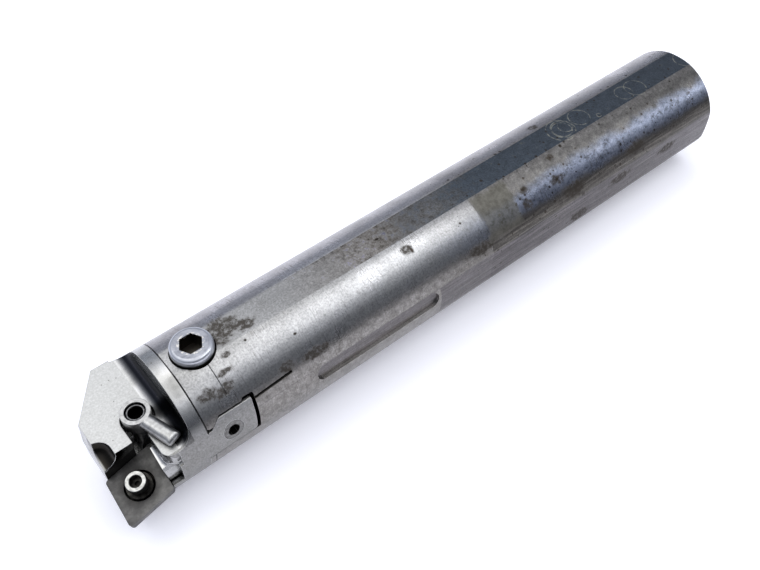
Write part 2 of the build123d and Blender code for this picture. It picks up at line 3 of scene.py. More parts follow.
import bpy
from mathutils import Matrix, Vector


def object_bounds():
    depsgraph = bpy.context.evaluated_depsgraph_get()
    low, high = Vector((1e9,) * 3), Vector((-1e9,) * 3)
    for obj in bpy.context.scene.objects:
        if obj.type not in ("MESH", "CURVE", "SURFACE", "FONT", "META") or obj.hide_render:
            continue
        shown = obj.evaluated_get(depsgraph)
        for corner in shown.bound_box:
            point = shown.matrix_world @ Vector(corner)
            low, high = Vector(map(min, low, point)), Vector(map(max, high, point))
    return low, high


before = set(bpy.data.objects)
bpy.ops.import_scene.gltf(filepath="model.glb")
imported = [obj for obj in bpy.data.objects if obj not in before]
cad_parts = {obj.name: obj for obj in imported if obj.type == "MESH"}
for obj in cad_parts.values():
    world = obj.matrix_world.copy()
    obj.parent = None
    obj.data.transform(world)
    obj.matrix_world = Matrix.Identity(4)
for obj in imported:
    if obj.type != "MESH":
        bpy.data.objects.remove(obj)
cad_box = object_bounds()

# Studio: a white paper floor under the bar, a tall narrow softbox and a small one on the cutting
# side, a wide one on the far side, and a room that is bright overhead and dimmest on the cutting
# side.
MM = 0.001
floor_z = cad_box[0][2]


def linear(hex_colour):
    """An sRGB hex colour as linear red, green, blue and alpha."""
    parts = [int(hex_colour[i : i + 2], 16) / 255 for i in (1, 3, 5)]
    return [c / 12.92 if c <= 0.04045 else ((c + 0.055) / 1.055) ** 2.4 for c in parts] + [1.0]


def add(tree, kind, links=None, **settings):
    """Adds one node with its settings, and its inputs set to values or linked to sockets.

    A node given as an input stands for its first output.
    """
    made = tree.nodes.new(kind)
    for name, value in settings.items():
        setattr(made, name, value)
    for slot, value in (links or {}).items():
        if isinstance(value, bpy.types.Node):
            value = value.outputs[0]
        if isinstance(value, bpy.types.NodeSocket):
            tree.links.new(value, made.inputs[slot])
        else:
            made.inputs[slot].default_value = value
    return made


def stops(ramp, *places):
    """Gives a colour ramp its stops, each a place from 0 to 1 and a hex colour."""
    elements = ramp.color_ramp.elements
    while len(elements) < len(places):
        elements.new(1.0)
    for element, (place, colour) in zip(elements, places):
        element.position = place
        element.color = linear(colour)
    return ramp.outputs["Color"]


bpy.context.scene.view_settings.view_transform = "Standard"

camera_data = bpy.data.cameras.new("camera")
camera_data.lens = 40.65
camera_data.clip_start = 10 * MM
camera = bpy.data.objects.new("camera", camera_data)
bpy.context.scene.collection.objects.link(camera)
CAMERA_PLACE = Vector((-245.63, -177.51, 271.78)) * MM
CAMERA_AIM = Vector((-103.28, -2.92, 0)) * MM
camera.location = CAMERA_PLACE
camera.rotation_euler = (CAMERA_AIM - CAMERA_PLACE).to_track_quat("-Z", "Y").to_euler()
bpy.context.scene.camera = camera

bpy.ops.object.select_all(action="DESELECT")
bpy.ops.mesh.primitive_plane_add(size=6, location=(0, 0, floor_z))
floor = bpy.context.object
floor.name = "floor"
paper = bpy.data.materials.new("white_paper")
paper.use_nodes = True
paper_shader = paper.node_tree.nodes["Principled BSDF"]
paper_shader.inputs["Base Color"].default_value = linear("#F6F6FB")
paper_shader.inputs["Roughness"].default_value = 0.9
paper_shader.inputs["Specular IOR Level"].default_value = 0.1
paper_shader.inputs["Emission Color"].default_value = linear("#F4F4FF")
paper_shader.inputs["Emission Strength"].default_value = 0.22
floor.data.materials.append(paper)

world = bpy.data.worlds.new("room")
bpy.context.scene.world = world
world.use_nodes = True
room = world.node_tree
room.nodes.clear()
direction = add(room, "ShaderNodeTexCoord").outputs["Generated"]
height = add(room, "ShaderNodeSeparateXYZ", {"Vector": direction}).outputs["Z"]
walls = stops(
    add(room, "ShaderNodeValToRGB", {"Fac": height}),
    (0.0, "#A9ABB2"), (0.03, "#767A82"), (0.12, "#5E626B"), (0.45, "#70747C"), (0.62, "#9A9DA5"),
    (0.8, "#DADDE6"), (1.0, "#FFFFFF"),
)
side = add(room, "ShaderNodeSeparateXYZ", {"Vector": direction}).outputs["Y"]
lift = add(
    room, "ShaderNodeMapRange",
    {"Value": side, "From Min": -0.9, "From Max": 0.75, "To Min": 0.45, "To Max": 2.3},
)
overhead = add(room, "ShaderNodeMapRange", {"Value": height, "From Min": 0.3, "From Max": 0.75})
brightness = add(room, "ShaderNodeMix", {0: overhead, 2: lift, 3: 1.0}, data_type="FLOAT")
ROOM_STRENGTH = 1.6
strength = add(room, "ShaderNodeMath", {0: brightness, 1: ROOM_STRENGTH}, operation="MULTIPLY")
room_light = add(room, "ShaderNodeBackground", {"Color": walls, "Strength": strength})
add(room, "ShaderNodeOutputWorld", {"Surface": room_light.outputs["Background"]})

BAR_MIDDLE = Vector((-100, 0, 0)) * MM


def softbox(name, azimuth, elevation, distance, width, height, radiance, colour):
    """A rectangular lamp in a direction from the bar's middle, given in degrees and metres."""
    flat = math.cos(math.radians(elevation)) * distance
    along = flat * math.cos(math.radians(azimuth))
    across = flat * math.sin(math.radians(azimuth))
    up = distance * math.sin(math.radians(elevation))
    lamp_place = BAR_MIDDLE + Vector((along, across, up))
    lamp = bpy.data.lights.new(name, "AREA")
    lamp.shape = "RECTANGLE"
    lamp.size = width
    lamp.size_y = height
    lamp.energy = radiance * math.pi * width * height
    lamp.color = linear(colour)[:3]
    holder = bpy.data.objects.new(name, lamp)
    bpy.context.scene.collection.objects.link(holder)
    holder.location = lamp_place
    holder.rotation_euler = (BAR_MIDDLE - lamp_place).to_track_quat("-Z", "Y").to_euler()


softbox("tall_softbox", -29, 45, 1.2, 0.27, 1.1, 3.5, "#F9FAFC")
softbox("near_softbox", -64, 57, 1.2, 0.34, 0.34, 1.5, "#FFFFFF")
softbox("wide_softbox", 116, 62, 1.3, 0.95, 0.9, 1.2, "#FFFEFA")

# Bar: a round of hardened steel, ground all over, with a flat milled along its top. It is bright
# near the head and goes slate and brown toward the rear, where holders have gripped it for years.
BAR_RADIUS = 25.4 * MM
REAR_FACE_X = 85 * MM
GRIP_X = -60 * MM
NEAR_SIDE_Y = -23.9 * MM
JOINT_X = -196.8 * MM
TOP_FLAT_Z = 24.67 * MM
TOP_FLAT_HALF_WIDTH = 6.06 * MM
SIDE_FLAT_Y = -24.267 * MM
SIDE_POCKET_Y = -24.2 * MM
SIDE_POCKET_REAR_X = -90 * MM
SIDE_POCKET_FRONT_X = -155 * MM
FACE_TOLERANCE = 0.012 * MM
JOINT_GAP = 0.3 * MM
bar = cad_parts["bar"]


def sharpen(piece):
    """Joins a solid's loose facets and shades its flat faces flat, right up to their edges."""
    weld = piece.modifiers.new("weld", "WELD")
    weld.merge_threshold = 0.002 * MM
    split = piece.modifiers.new("split", "EDGE_SPLIT")
    split.split_angle = math.radians(28)
    flat = piece.modifiers.new("flat", "WEIGHTED_NORMAL")
    flat.weight = 100


def metal(name):
    """Starts a metal: its material, its node tree, its shader and the place that its patterns follow."""
    made = bpy.data.materials.new(name)
    made.use_nodes = True
    surface = made.node_tree.nodes["Principled BSDF"]
    surface.inputs["Metallic"].default_value = 1.0
    return made, made.node_tree, surface, add(made.node_tree, "ShaderNodeTexCoord").outputs["Object"]


def dress(piece, finish):
    """Gives a solid its finish in place of the plain one it came with."""
    piece.data.materials.clear()
    piece.data.materials.append(finish)


def distance_across(tree, place, across):
    """The distance from an axis, by the two coordinates across it, which are marked with a 1."""
    level = add(tree, "ShaderNodeVectorMath", {0: place, 1: across}, operation="MULTIPLY")
    return add(tree, "ShaderNodeVectorMath", {0: level}, operation="LENGTH").outputs["Value"]


def corner_dirt_and_shade(tree, reach, starts, full, most=1.0):
    """How dark a corner is drawn, as dirt and painted shade, by the share of open air within reach of it
    where the darkening starts and is full.
    """
    shade = add(tree, "ShaderNodeAmbientOcclusion", {"Distance": reach}, samples=8)
    limits = {"From Min": starts, "From Max": full, "To Max": most}
    return add(tree, "ShaderNodeMapRange", {"Value": shade.outputs["AO"], **limits})


def turn_from_top(tree, axes):
    """The angle round the bar's axis, from its top toward the cutting side."""
    near_side = add(tree, "ShaderNodeMath", {0: axes.outputs["Y"], 1: -1.0}, operation="MULTIPLY")
    return add(tree, "ShaderNodeMath", {0: near_side, 1: axes.outputs["Z"]}, operation="ARCTAN2")


sharpen(bar)
ground_steel, tree, shader, place = metal("ground_steel")
axes = add(tree, "ShaderNodeSeparateXYZ", {"Vector": place})
turn = turn_from_top(tree, axes)
arc = add(tree, "ShaderNodeMath", {0: turn, 1: BAR_RADIUS}, operation="MULTIPLY")
skin = add(tree, "ShaderNodeCombineXYZ", {"X": axes.outputs["X"], "Y": arc})
clouds = add(
    tree, "ShaderNodeTexNoise", {"Vector": place, "Scale": 1 / (16 * MM), "Detail": 7.0, "Roughness": 0.62},
)
mottle = add(
    tree, "ShaderNodeTexNoise",
    {"Vector": place, "Scale": 1 / (2.6 * MM), "Detail": 6.0, "Roughness": 0.72},
)
speckle = add(
    tree, "ShaderNodeTexNoise",
    {"Vector": place, "Scale": 1 / (0.75 * MM), "Detail": 3.0, "Roughness": 0.7},
)

# The rear face is turned: its lines run round the centre hole.
on_end = add(
    tree, "ShaderNodeMath", {0: axes.outputs["X"], 1: REAR_FACE_X - 0.1 * MM}, operation="GREATER_THAN",
)
off_end = add(tree, "ShaderNodeMath", {0: 1.0, 1: on_end}, operation="SUBTRACT")
radius = distance_across(tree, place, (0.0, 1.0, 1.0))
turned_lines = add(
    tree, "ShaderNodeTexNoise", {"W": radius, "Scale": 1 / (0.5 * MM)}, noise_dimensions="1D",
)
turned = stops(
    add(tree, "ShaderNodeValToRGB", {"Fac": turned_lines.outputs["Fac"]}),
    (0.35, "#6B6864"), (0.65, "#8A8884"),
)

# Clean steel toward the head, brown-grey toward the rear with a blued belt: blued oxide with a painted blue
# reflection, laid where the tall softbox's highlight falls.
clean = stops(
    add(tree, "ShaderNodeValToRGB", {"Fac": clouds.outputs["Fac"]}),
    (0.3, "#8E8E8E"), (0.5, "#A6A6A6"), (0.7, "#B6B6B7"),
)
brown = stops(
    add(tree, "ShaderNodeValToRGB", {"Fac": mottle.outputs["Fac"]}),
    (0.3, "#484643"), (0.5, "#696663"), (0.7, "#868480"),
)
blued_oxide_and_reflection_tint = stops(
    add(tree, "ShaderNodeValToRGB", {"Fac": mottle.outputs["Fac"]}),
    (0.34, "#3D4148"), (0.47, "#838B9F"), (0.7, "#A5ADC0"),
)
wavy_turn = add(
    tree, "ShaderNodeMath", {0: clouds.outputs["Fac"], 1: math.radians(-26), 2: turn},
    operation="MULTIPLY_ADD",
)
belt_side = add(tree, "ShaderNodeMath", {0: wavy_turn, 1: math.radians(31)}, operation="SUBTRACT")
belt_reach = add(tree, "ShaderNodeMath", {0: belt_side}, operation="ABSOLUTE")
blue_reflection_belt = add(
    tree, "ShaderNodeMapRange",
    {"Value": belt_reach, "From Min": math.radians(15), "From Max": math.radians(5)},
    interpolation_type="SMOOTHSTEP",
)
aged_steel_and_painted_light = add(tree, "ShaderNodeMix", {0: blue_reflection_belt, 6: brown, 7: blued_oxide_and_reflection_tint}, data_type="RGBA").outputs[2]
# Painted shade: the rear steel is darkened along the band where the softbox's highlight falls, to dim that
# highlight.
dimmed_band_side = add(tree, "ShaderNodeMath", {0: turn, 1: math.radians(29)}, operation="SUBTRACT")
dimmed_band_reach = add(tree, "ShaderNodeMath", {0: dimmed_band_side}, operation="ABSOLUTE")
painted_highlight_dimming = add(
    tree, "ShaderNodeMapRange",
    {"Value": dimmed_band_reach, "From Min": math.radians(4), "From Max": math.radians(15), "To Min": 0.42},
    interpolation_type="SMOOTHSTEP",
)
aged_steel_and_painted_light = add(
    tree, "ShaderNodeMix", {0: 1.0, 6: aged_steel_and_painted_light, 7: painted_highlight_dimming}, data_type="RGBA", blend_type="MULTIPLY",
).outputs[2]
along = add(
    tree, "ShaderNodeMath", {0: clouds.outputs["Fac"], 1: 50 * MM, 2: axes.outputs["X"]},
    operation="MULTIPLY_ADD",
)
fading = add(
    tree, "ShaderNodeMapRange", {"Value": along, "From Min": -75 * MM, "From Max": -30 * MM, "To Max": 0.5},
)
gripped = add(tree, "ShaderNodeMath", {0: axes.outputs["X"], 1: GRIP_X}, operation="GREATER_THAN")
rearward = add(tree, "ShaderNodeMath", {0: gripped, 1: 0.4, 2: fading}, operation="MULTIPLY_ADD")
steel = add(tree, "ShaderNodeMix", {0: rearward, 6: clean, 7: aged_steel_and_painted_light}, data_type="RGBA").outputs[2]

# The far side has a mauve film.
far_side = add(
    tree, "ShaderNodeMapRange",
    {"Value": turn, "From Min": math.radians(-12), "From Max": math.radians(-18), "To Max": 0.8},
)
film = stops(
    add(tree, "ShaderNodeValToRGB", {"Fac": clouds.outputs["Fac"]}),
    (0.35, "#8F8C8D"), (0.65, "#AAA8AC"),
)
steel = add(tree, "ShaderNodeMix", {0: far_side, 6: steel, 7: film}, data_type="RGBA").outputs[2]

# The near side is darker and dull: beige at the head, dark brown at the rear.
streak_place = add(
    tree, "ShaderNodeMapping", {"Vector": skin, "Scale": (1 / (22 * MM), 1 / (1.1 * MM), 1.0)},
)
streaks = add(
    tree, "ShaderNodeTexNoise", {"Vector": streak_place, "Scale": 1.0, "Detail": 4.0, "Roughness": 0.65},
)
beige = stops(
    add(tree, "ShaderNodeValToRGB", {"Fac": mottle.outputs["Fac"]}),
    (0.3, "#66635F"), (0.5, "#84817D"), (0.7, "#9A9794"),
)
umber = stops(
    add(tree, "ShaderNodeValToRGB", {"Fac": streaks.outputs["Fac"]}),
    (0.35, "#2B2825"), (0.5, "#403D38"), (0.66, "#66625C"),
)
dull_steel = add(tree, "ShaderNodeMix", {0: rearward, 6: beige, 7: umber}, data_type="RGBA").outputs[2]
wavy_edge = add(
    tree, "ShaderNodeMath", {0: mottle.outputs["Fac"], 1: math.radians(14), 2: turn},
    operation="MULTIPLY_ADD",
)
dull = add(
    tree, "ShaderNodeMapRange",
    {"Value": wavy_edge, "From Min": math.radians(58), "From Max": math.radians(68), "To Max": 0.95},
    interpolation_type="SMOOTHSTEP",
)
steel = add(tree, "ShaderNodeMix", {0: dull, 6: steel, 7: dull_steel}, data_type="RGBA").outputs[2]

# Side flat and side pocket: a smooth mauve oxide that reaches up to their crisp edges.
on_side_flat = add(
    tree, "ShaderNodeMath", {0: axes.outputs["Y"], 1: SIDE_FLAT_Y, 2: FACE_TOLERANCE}, operation="COMPARE",
)
in_pocket = add(
    tree, "ShaderNodeMath", {0: axes.outputs["Y"], 1: SIDE_POCKET_Y, 2: FACE_TOLERANCE},
    operation="COMPARE",
)
oxide_place = add(tree, "ShaderNodeMath", {0: on_side_flat, 1: in_pocket}, operation="MAXIMUM")
oxide_depth = add(tree, "ShaderNodeMath", {0: oxide_place, 1: 0.75}, operation="MULTIPLY")
pocket_light = add(tree, "ShaderNodeMath", {0: in_pocket, 1: 0.05, 2: 1.0}, operation="MULTIPLY_ADD")
smooth_oxide = stops(
    add(tree, "ShaderNodeValToRGB", {"Fac": streaks.outputs["Fac"]}),
    (0.35, "#403D3D"), (0.5, "#555154"), (0.66, "#6B676B"),
)
smooth_oxide = add(
    tree, "ShaderNodeMix", {0: 1.0, 6: smooth_oxide, 7: pocket_light}, data_type="RGBA",
    blend_type="MULTIPLY",
).outputs[2]
steel = add(tree, "ShaderNodeMix", {0: oxide_depth, 6: steel, 7: smooth_oxide}, data_type="RGBA").outputs[2]

# The side pocket's walls are painted lighter than its floor, painted light against the dark reflection in
# them.
inside_round = add(tree, "ShaderNodeMath", {0: radius, 1: BAR_RADIUS - 0.1 * MM}, operation="LESS_THAN")
out_of_floor = add(
    tree, "ShaderNodeMath", {0: axes.outputs["Y"], 1: SIDE_POCKET_Y - 0.02 * MM}, operation="LESS_THAN",
)
ahead = add(tree, "ShaderNodeMath", {0: axes.outputs["X"], 1: SIDE_POCKET_REAR_X}, operation="LESS_THAN")
painted_pocket_wall_light = add(tree, "ShaderNodeMath", {0: inside_round, 1: out_of_floor}, operation="MULTIPLY")
painted_pocket_wall_light = add(tree, "ShaderNodeMath", {0: painted_pocket_wall_light, 1: ahead}, operation="MULTIPLY")
steel = add(
    tree, "ShaderNodeMix", {0: painted_pocket_wall_light, 6: steel, 7: linear("#A19F9C")}, data_type="RGBA",
).outputs[2]

# The top flat keeps an old slate-blue oxide, which breaks up in brown-grey mottles toward the head.
across = add(tree, "ShaderNodeMath", {0: axes.outputs["Y"]}, operation="ABSOLUTE")
flat_width = add(tree, "ShaderNodeMath", {0: across, 1: TOP_FLAT_HALF_WIDTH}, operation="LESS_THAN")
above = add(tree, "ShaderNodeMath", {0: axes.outputs["Z"], 1: 24 * MM}, operation="GREATER_THAN")
on_flat = add(tree, "ShaderNodeMath", {0: flat_width, 1: above}, operation="MULTIPLY")
dull_flat = add(tree, "ShaderNodeMath", {0: on_flat, 1: 0.25}, operation="MULTIPLY")
steel = add(
    tree, "ShaderNodeMix", {0: dull_flat, 6: steel, 7: linear("#65645F")}, data_type="RGBA",
).outputs[2]
tarnish_start = add(
    tree, "ShaderNodeMapRange", {"Value": along, "From Min": -130 * MM, "From Max": -85 * MM},
)
tarnish = add(tree, "ShaderNodeMath", {0: tarnish_start, 1: on_flat}, operation="MULTIPLY")
brown_grey = stops(
    add(tree, "ShaderNodeValToRGB", {"Fac": mottle.outputs["Fac"]}),
    (0.34, "#45413C"), (0.47, "#74706B"), (0.58, "#8D8A86"), (0.7, "#7C7894"),
)
steel = add(tree, "ShaderNodeMix", {0: tarnish, 6: steel, 7: brown_grey}, data_type="RGBA").outputs[2]
ragged = add(
    tree, "ShaderNodeMath", {0: mottle.outputs["Fac"], 1: 90 * MM, 2: along}, operation="MULTIPLY_ADD",
)
oxide_start = add(tree, "ShaderNodeMapRange", {"Value": ragged, "From Min": -30 * MM, "From Max": 12 * MM})
oxide = add(tree, "ShaderNodeMath", {0: oxide_start, 1: on_flat}, operation="MULTIPLY")
slate = stops(
    add(tree, "ShaderNodeValToRGB", {"Fac": mottle.outputs["Fac"]}),
    (0.35, "#40464C"), (0.6, "#4B525A"), (0.75, "#5F6058"),
)
steel = add(tree, "ShaderNodeMix", {0: oxide, 6: steel, 7: slate}, data_type="RGBA").outputs[2]

# The turned lines go on the rear face alone.
steel = add(tree, "ShaderNodeMix", {0: on_end, 6: steel, 7: turned}, data_type="RGBA").outputs[2]

# Fine salt-and-pepper grain over everything.
grain = add(
    tree, "ShaderNodeMapRange",
    {"Value": speckle.outputs["Fac"], "From Min": 0.3, "From Max": 0.7, "To Min": 0.58, "To Max": 1.32},
)
steel = add(
    tree, "ShaderNodeMix", {0: 0.8, 6: steel, 7: grain}, data_type="RGBA", blend_type="MULTIPLY",
).outputs[2]

# Grinding lines run round the bar. Real ones are 0.05 mm apart, and these are drawn at 0.4 mm.
lines_place = add(
    tree, "ShaderNodeMapping", {"Vector": skin, "Scale": (1 / (0.42 * MM), 1 / (9 * MM), 1.0)},
)
lines = add(
    tree, "ShaderNodeTexNoise", {"Vector": lines_place, "Scale": 1.0, "Detail": 3.0, "Roughness": 0.75},
)
scored = add(
    tree, "ShaderNodeMapRange", {"Value": lines.outputs["Fac"], "From Min": 0.53, "From Max": 0.64},
)
patchy = add(
    tree, "ShaderNodeMapRange", {"Value": clouds.outputs["Fac"], "From Min": 0.42, "From Max": 0.6},
)
score = add(tree, "ShaderNodeMath", {0: scored, 1: patchy}, operation="MULTIPLY")
off_flat = add(tree, "ShaderNodeMath", {0: 1.0, 1: on_flat}, operation="SUBTRACT")
score_soft = add(tree, "ShaderNodeMath", {0: score, 1: off_flat}, operation="MULTIPLY")
score_soft = add(tree, "ShaderNodeMath", {0: score_soft, 1: 0.75}, operation="MULTIPLY")
score_soft = add(tree, "ShaderNodeMath", {0: score_soft, 1: off_end}, operation="MULTIPLY")
steel = add(
    tree, "ShaderNodeMix", {0: score_soft, 6: steel, 7: linear("#5F5B56")}, data_type="RGBA",
).outputs[2]

# Stains of oil and small pits: each has its place along the bar and round it in degrees from the
# top, and its half length and half width.
STAINS = [
    ("oil", -173.5, -3, 9.5, 7.0), ("oil", -176, 3, 6.0, 5.0), ("oil", -166, 5, 6.0, 3.5),
    ("oil", -171, -6, 6.0, 3.0), ("oil", -178, 20, 2.5, 1.5), ("oil", -182, 31, 5.0, 1.6),
    ("oil", -189, 14, 4.0, 2.0), ("oil", -191, 40, 5.0, 3.0), ("oil", -183, 42, 3.0, 3.0),
    ("oil", -186, 44, 5.0, 2.5), ("oil", -149, 58, 8.0, 3.0), ("oil", -161, 55, 5.0, 3.0),
    ("pit", -152.6, 35, 0.8, 0.6), ("pit", -102.5, -0.2, 1.2, 0.7), ("pit", -94.3, 27, 0.8, 1.5),
    ("oil", -96, 24, 3.0, 3.0), ("pit", -69.6, 29.5, 0.6, 0.6), ("pit", -169.2, 18, 0.6, 0.6),
    ("oil", -14.5, 21, 3.0, 2.0), ("pit", -6.3, 16.4, 0.9, 0.9), ("pit", -14.5, 21.2, 0.7, 0.6),
    ("pit", -35.6, 33.8, 0.9, 0.7), ("oil", -35, 34, 2.6, 1.8), ("pit", -17.6, 42.4, 1.2, 0.9),
    ("oil", -17.6, 43, 6.0, 3.0), ("pit", -10.8, 33.5, 0.6, 0.6), ("oil", -36.5, 48, 4.0, 3.0),
    ("oil", -10.2, 61, 8.5, 5.0), ("pit", -5.7, 72, 1.2, 1.0), ("oil", 20, 84, 9.0, 4.0),
    ("oil", 53, 85, 8.0, 3.5), ("oil", -5.4, 101, 8.0, 4.0), ("oil", -66, 61, 9.0, 3.5),
    ("oil", 30, 58, 9.0, 4.0), ("oil", -6, -22, 3.5, 3.0),
]


def skin_from(x, angle, half_length, half_width):
    """The bar's skin seen from a point of it, with the half length and the half width as the units."""
    size = (1 / (half_length * MM), 1 / (half_width * MM), 1.0)
    shift = (-x * MM * size[0], -math.radians(angle) * BAR_RADIUS * size[1], 0.0)
    return add(tree, "ShaderNodeMapping", {"Vector": skin, "Location": shift, "Scale": size})


darkness = {"oil": None, "pit": None}
for sort, *spot in STAINS:
    reach = add(tree, "ShaderNodeVectorMath", {0: skin_from(*spot)}, operation="LENGTH")
    inside = add(
        tree, "ShaderNodeMapRange", {"Value": reach.outputs["Value"], "From Min": 1.15, "From Max": 0.5},
    )
    if darkness[sort] is None:
        darkness[sort] = inside
    else:
        darkness[sort] = add(tree, "ShaderNodeMath", {0: darkness[sort], 1: inside}, operation="MAXIMUM")
grime = add(
    tree, "ShaderNodeTexNoise",
    {"Vector": place, "Scale": 1 / (1.5 * MM), "Detail": 5.0, "Roughness": 0.75},
)
grime_edge = add(
    tree, "ShaderNodeMath", {0: darkness["oil"], 1: 0.28, 2: grime.outputs["Fac"]},
    operation="MULTIPLY_ADD",
)
oil = add(
    tree, "ShaderNodeMapRange", {"Value": grime_edge, "From Min": 0.63, "From Max": 0.8, "To Max": 0.9},
)
oil = add(tree, "ShaderNodeMath", {0: oil, 1: off_end}, operation="MULTIPLY")
steel = add(tree, "ShaderNodeMix", {0: oil, 6: steel, 7: linear("#3F3A34")}, data_type="RGBA").outputs[2]

# Rust freckles, scattered a few millimetres apart and larger in the gripped length.
freckles = add(tree, "ShaderNodeTexVoronoi", {"Vector": place, "Scale": 1 / (3.2 * MM), "Randomness": 1.0})
freckle_size = add(tree, "ShaderNodeSeparateXYZ", {"Vector": freckles.outputs["Color"]})
rear_more = add(tree, "ShaderNodeMath", {0: rearward, 1: 0.2, 2: 0.05}, operation="MULTIPLY_ADD")
freckle_reach = add(
    tree, "ShaderNodeMath", {0: freckle_size.outputs["X"], 1: rear_more}, operation="MULTIPLY",
)
freckle = add(
    tree, "ShaderNodeMath", {0: freckles.outputs["Distance"], 1: freckle_reach}, operation="LESS_THAN",
)
freckle_soft = add(tree, "ShaderNodeMath", {0: freckle, 1: 0.85}, operation="MULTIPLY")
marks = add(tree, "ShaderNodeMath", {0: freckle_soft, 1: darkness["pit"]}, operation="MAXIMUM")
steel = add(tree, "ShaderNodeMix", {0: marks, 6: steel, 7: linear("#332E29")}, data_type="RGBA").outputs[2]

# Light scratches along the dull side, where the bar slid in its holders.
scratch_place = add(
    tree, "ShaderNodeMapping", {"Vector": skin, "Scale": (1 / (60 * MM), 1 / (0.45 * MM), 1.0)},
)
scratches = add(tree, "ShaderNodeTexNoise", {"Vector": scratch_place, "Scale": 1.0, "Detail": 2.0})
scratch = add(
    tree, "ShaderNodeMapRange",
    {"Value": scratches.outputs["Fac"], "From Min": 0.66, "From Max": 0.72, "To Max": 0.5},
)
slid = add(tree, "ShaderNodeMath", {0: rearward, 1: dull}, operation="MULTIPLY")
scratch_here = add(tree, "ShaderNodeMath", {0: scratch, 1: slid}, operation="MULTIPLY")
scratch_here = add(tree, "ShaderNodeMath", {0: scratch_here, 1: off_end}, operation="MULTIPLY")
steel = add(
    tree, "ShaderNodeMix", {0: scratch_here, 6: steel, 7: linear("#A5A29C")}, data_type="RGBA",
).outputs[2]

# A holder's clamp has left a dull olive mark with ragged borders.
patch_place = skin_from(-50.6, 38, 9.2, 9.8)
patch_wobble = add(
    tree, "ShaderNodeVectorMath", {0: mottle.outputs["Color"], 1: (0.5, 0.5, 0.5)}, operation="SUBTRACT",
)
patch_ragged = add(
    tree, "ShaderNodeVectorMath", {0: patch_wobble, 1: (0.5, 0.6, 0.0), 2: patch_place},
    operation="MULTIPLY_ADD",
)
patch_far = add(tree, "ShaderNodeVectorMath", {0: patch_ragged}, operation="ABSOLUTE")
patch_sides = add(tree, "ShaderNodeSeparateXYZ", {"Vector": patch_far})
patch_reach = add(
    tree, "ShaderNodeMath", {0: patch_sides.outputs["X"], 1: patch_sides.outputs["Y"]}, operation="MAXIMUM",
)
patch = add(
    tree, "ShaderNodeMapRange", {"Value": patch_reach, "From Min": 1.1, "From Max": 0.9, "To Max": 0.8},
)
olive = stops(
    add(tree, "ShaderNodeValToRGB", {"Fac": mottle.outputs["Fac"]}),
    (0.35, "#56544D"), (0.65, "#6E6C65"),
)
steel = add(tree, "ShaderNodeMix", {0: patch, 6: steel, 7: olive}, data_type="RGBA").outputs[2]

# Rings that the tips of set screws have rubbed into the oxide of the flat, each with its place along
# and across the flat and its radius.
RUBBED_RINGS = [
    (2.0, -0.5, 4.6), (2.6, -0.6, 5.6), (1.2, -0.4, 6.6), (4.6, 0.0, 3.4), (43.0, -0.7, 4.4),
    (50.0, -1.4, 5.2), (22.2, -4.1, 1.1), (85.0, -1.7, 5.0), (14.0, 0.5, 5.0),
]
rubbed = None
for x, y, ring_radius in RUBBED_RINGS:
    centred = add(
        tree, "ShaderNodeVectorMath", {0: place, 1: (x * MM, y * MM, TOP_FLAT_Z)}, operation="SUBTRACT",
    )
    from_centre = add(tree, "ShaderNodeVectorMath", {0: centred}, operation="LENGTH")
    ring = add(
        tree, "ShaderNodeMath", {0: from_centre.outputs["Value"], 1: ring_radius * MM, 2: 0.24 * MM},
        operation="COMPARE",
    )
    if rubbed is None:
        rubbed = ring
    else:
        rubbed = add(tree, "ShaderNodeMath", {0: rubbed, 1: ring}, operation="MAXIMUM")
worn_ring = add(
    tree, "ShaderNodeMapRange",
    {"Value": mottle.outputs["Fac"], "From Min": 0.42, "From Max": 0.6, "To Max": 0.75},
)
ring_wear = add(tree, "ShaderNodeMath", {0: worn_ring, 1: rubbed}, operation="MULTIPLY")
steel = add(
    tree, "ShaderNodeMix", {0: ring_wear, 6: steel, 7: linear("#98978B")}, data_type="RGBA",
).outputs[2]

# Dirt and shade in the slot, the slit and round the screw, and in the hairline of the joint. The
# shallow side pocket has none.
crevice = corner_dirt_and_shade(tree, 3.0 * MM, 0.62, 0.2)
rearward_of_jaws = add(
    tree, "ShaderNodeMath", {0: axes.outputs["X"], 1: SIDE_POCKET_FRONT_X}, operation="GREATER_THAN",
)
on_side = add(tree, "ShaderNodeMath", {0: axes.outputs["Y"], 1: NEAR_SIDE_Y}, operation="LESS_THAN")
by_pocket = add(tree, "ShaderNodeMath", {0: rearward_of_jaws, 1: on_side}, operation="MULTIPLY")
elsewhere = add(tree, "ShaderNodeMath", {0: 1.0, 1: by_pocket}, operation="SUBTRACT")
crevice = add(tree, "ShaderNodeMath", {0: crevice, 1: elsewhere}, operation="MULTIPLY")
joint_gap = add(
    tree, "ShaderNodeMath", {0: axes.outputs["X"], 1: JOINT_X, 2: JOINT_GAP}, operation="COMPARE",
)
HOOK_SLOPE = math.tan(math.radians(38))
HOOK_FOOT = (-194.0 * MM, 10.7 * MM)
HOOK_MIDDLE_Z = 11.8 * MM
hook_start = HOOK_FOOT[0] - HOOK_FOOT[1] / HOOK_SLOPE
hook_line = add(
    tree, "ShaderNodeMath", {0: axes.outputs["Z"], 1: -1 / HOOK_SLOPE, 2: axes.outputs["X"]},
    operation="MULTIPLY_ADD",
)
hook_gap = add(tree, "ShaderNodeMath", {0: hook_line, 1: hook_start, 2: 0.35 * MM}, operation="COMPARE")
hook_height = add(
    tree, "ShaderNodeMath", {0: axes.outputs["Z"], 1: HOOK_MIDDLE_Z, 2: 1.6 * MM}, operation="COMPARE",
)
hook_dirt = add(tree, "ShaderNodeMath", {0: hook_gap, 1: hook_height}, operation="MULTIPLY")
joint_dirt = add(tree, "ShaderNodeMath", {0: joint_gap, 1: hook_dirt}, operation="MAXIMUM")
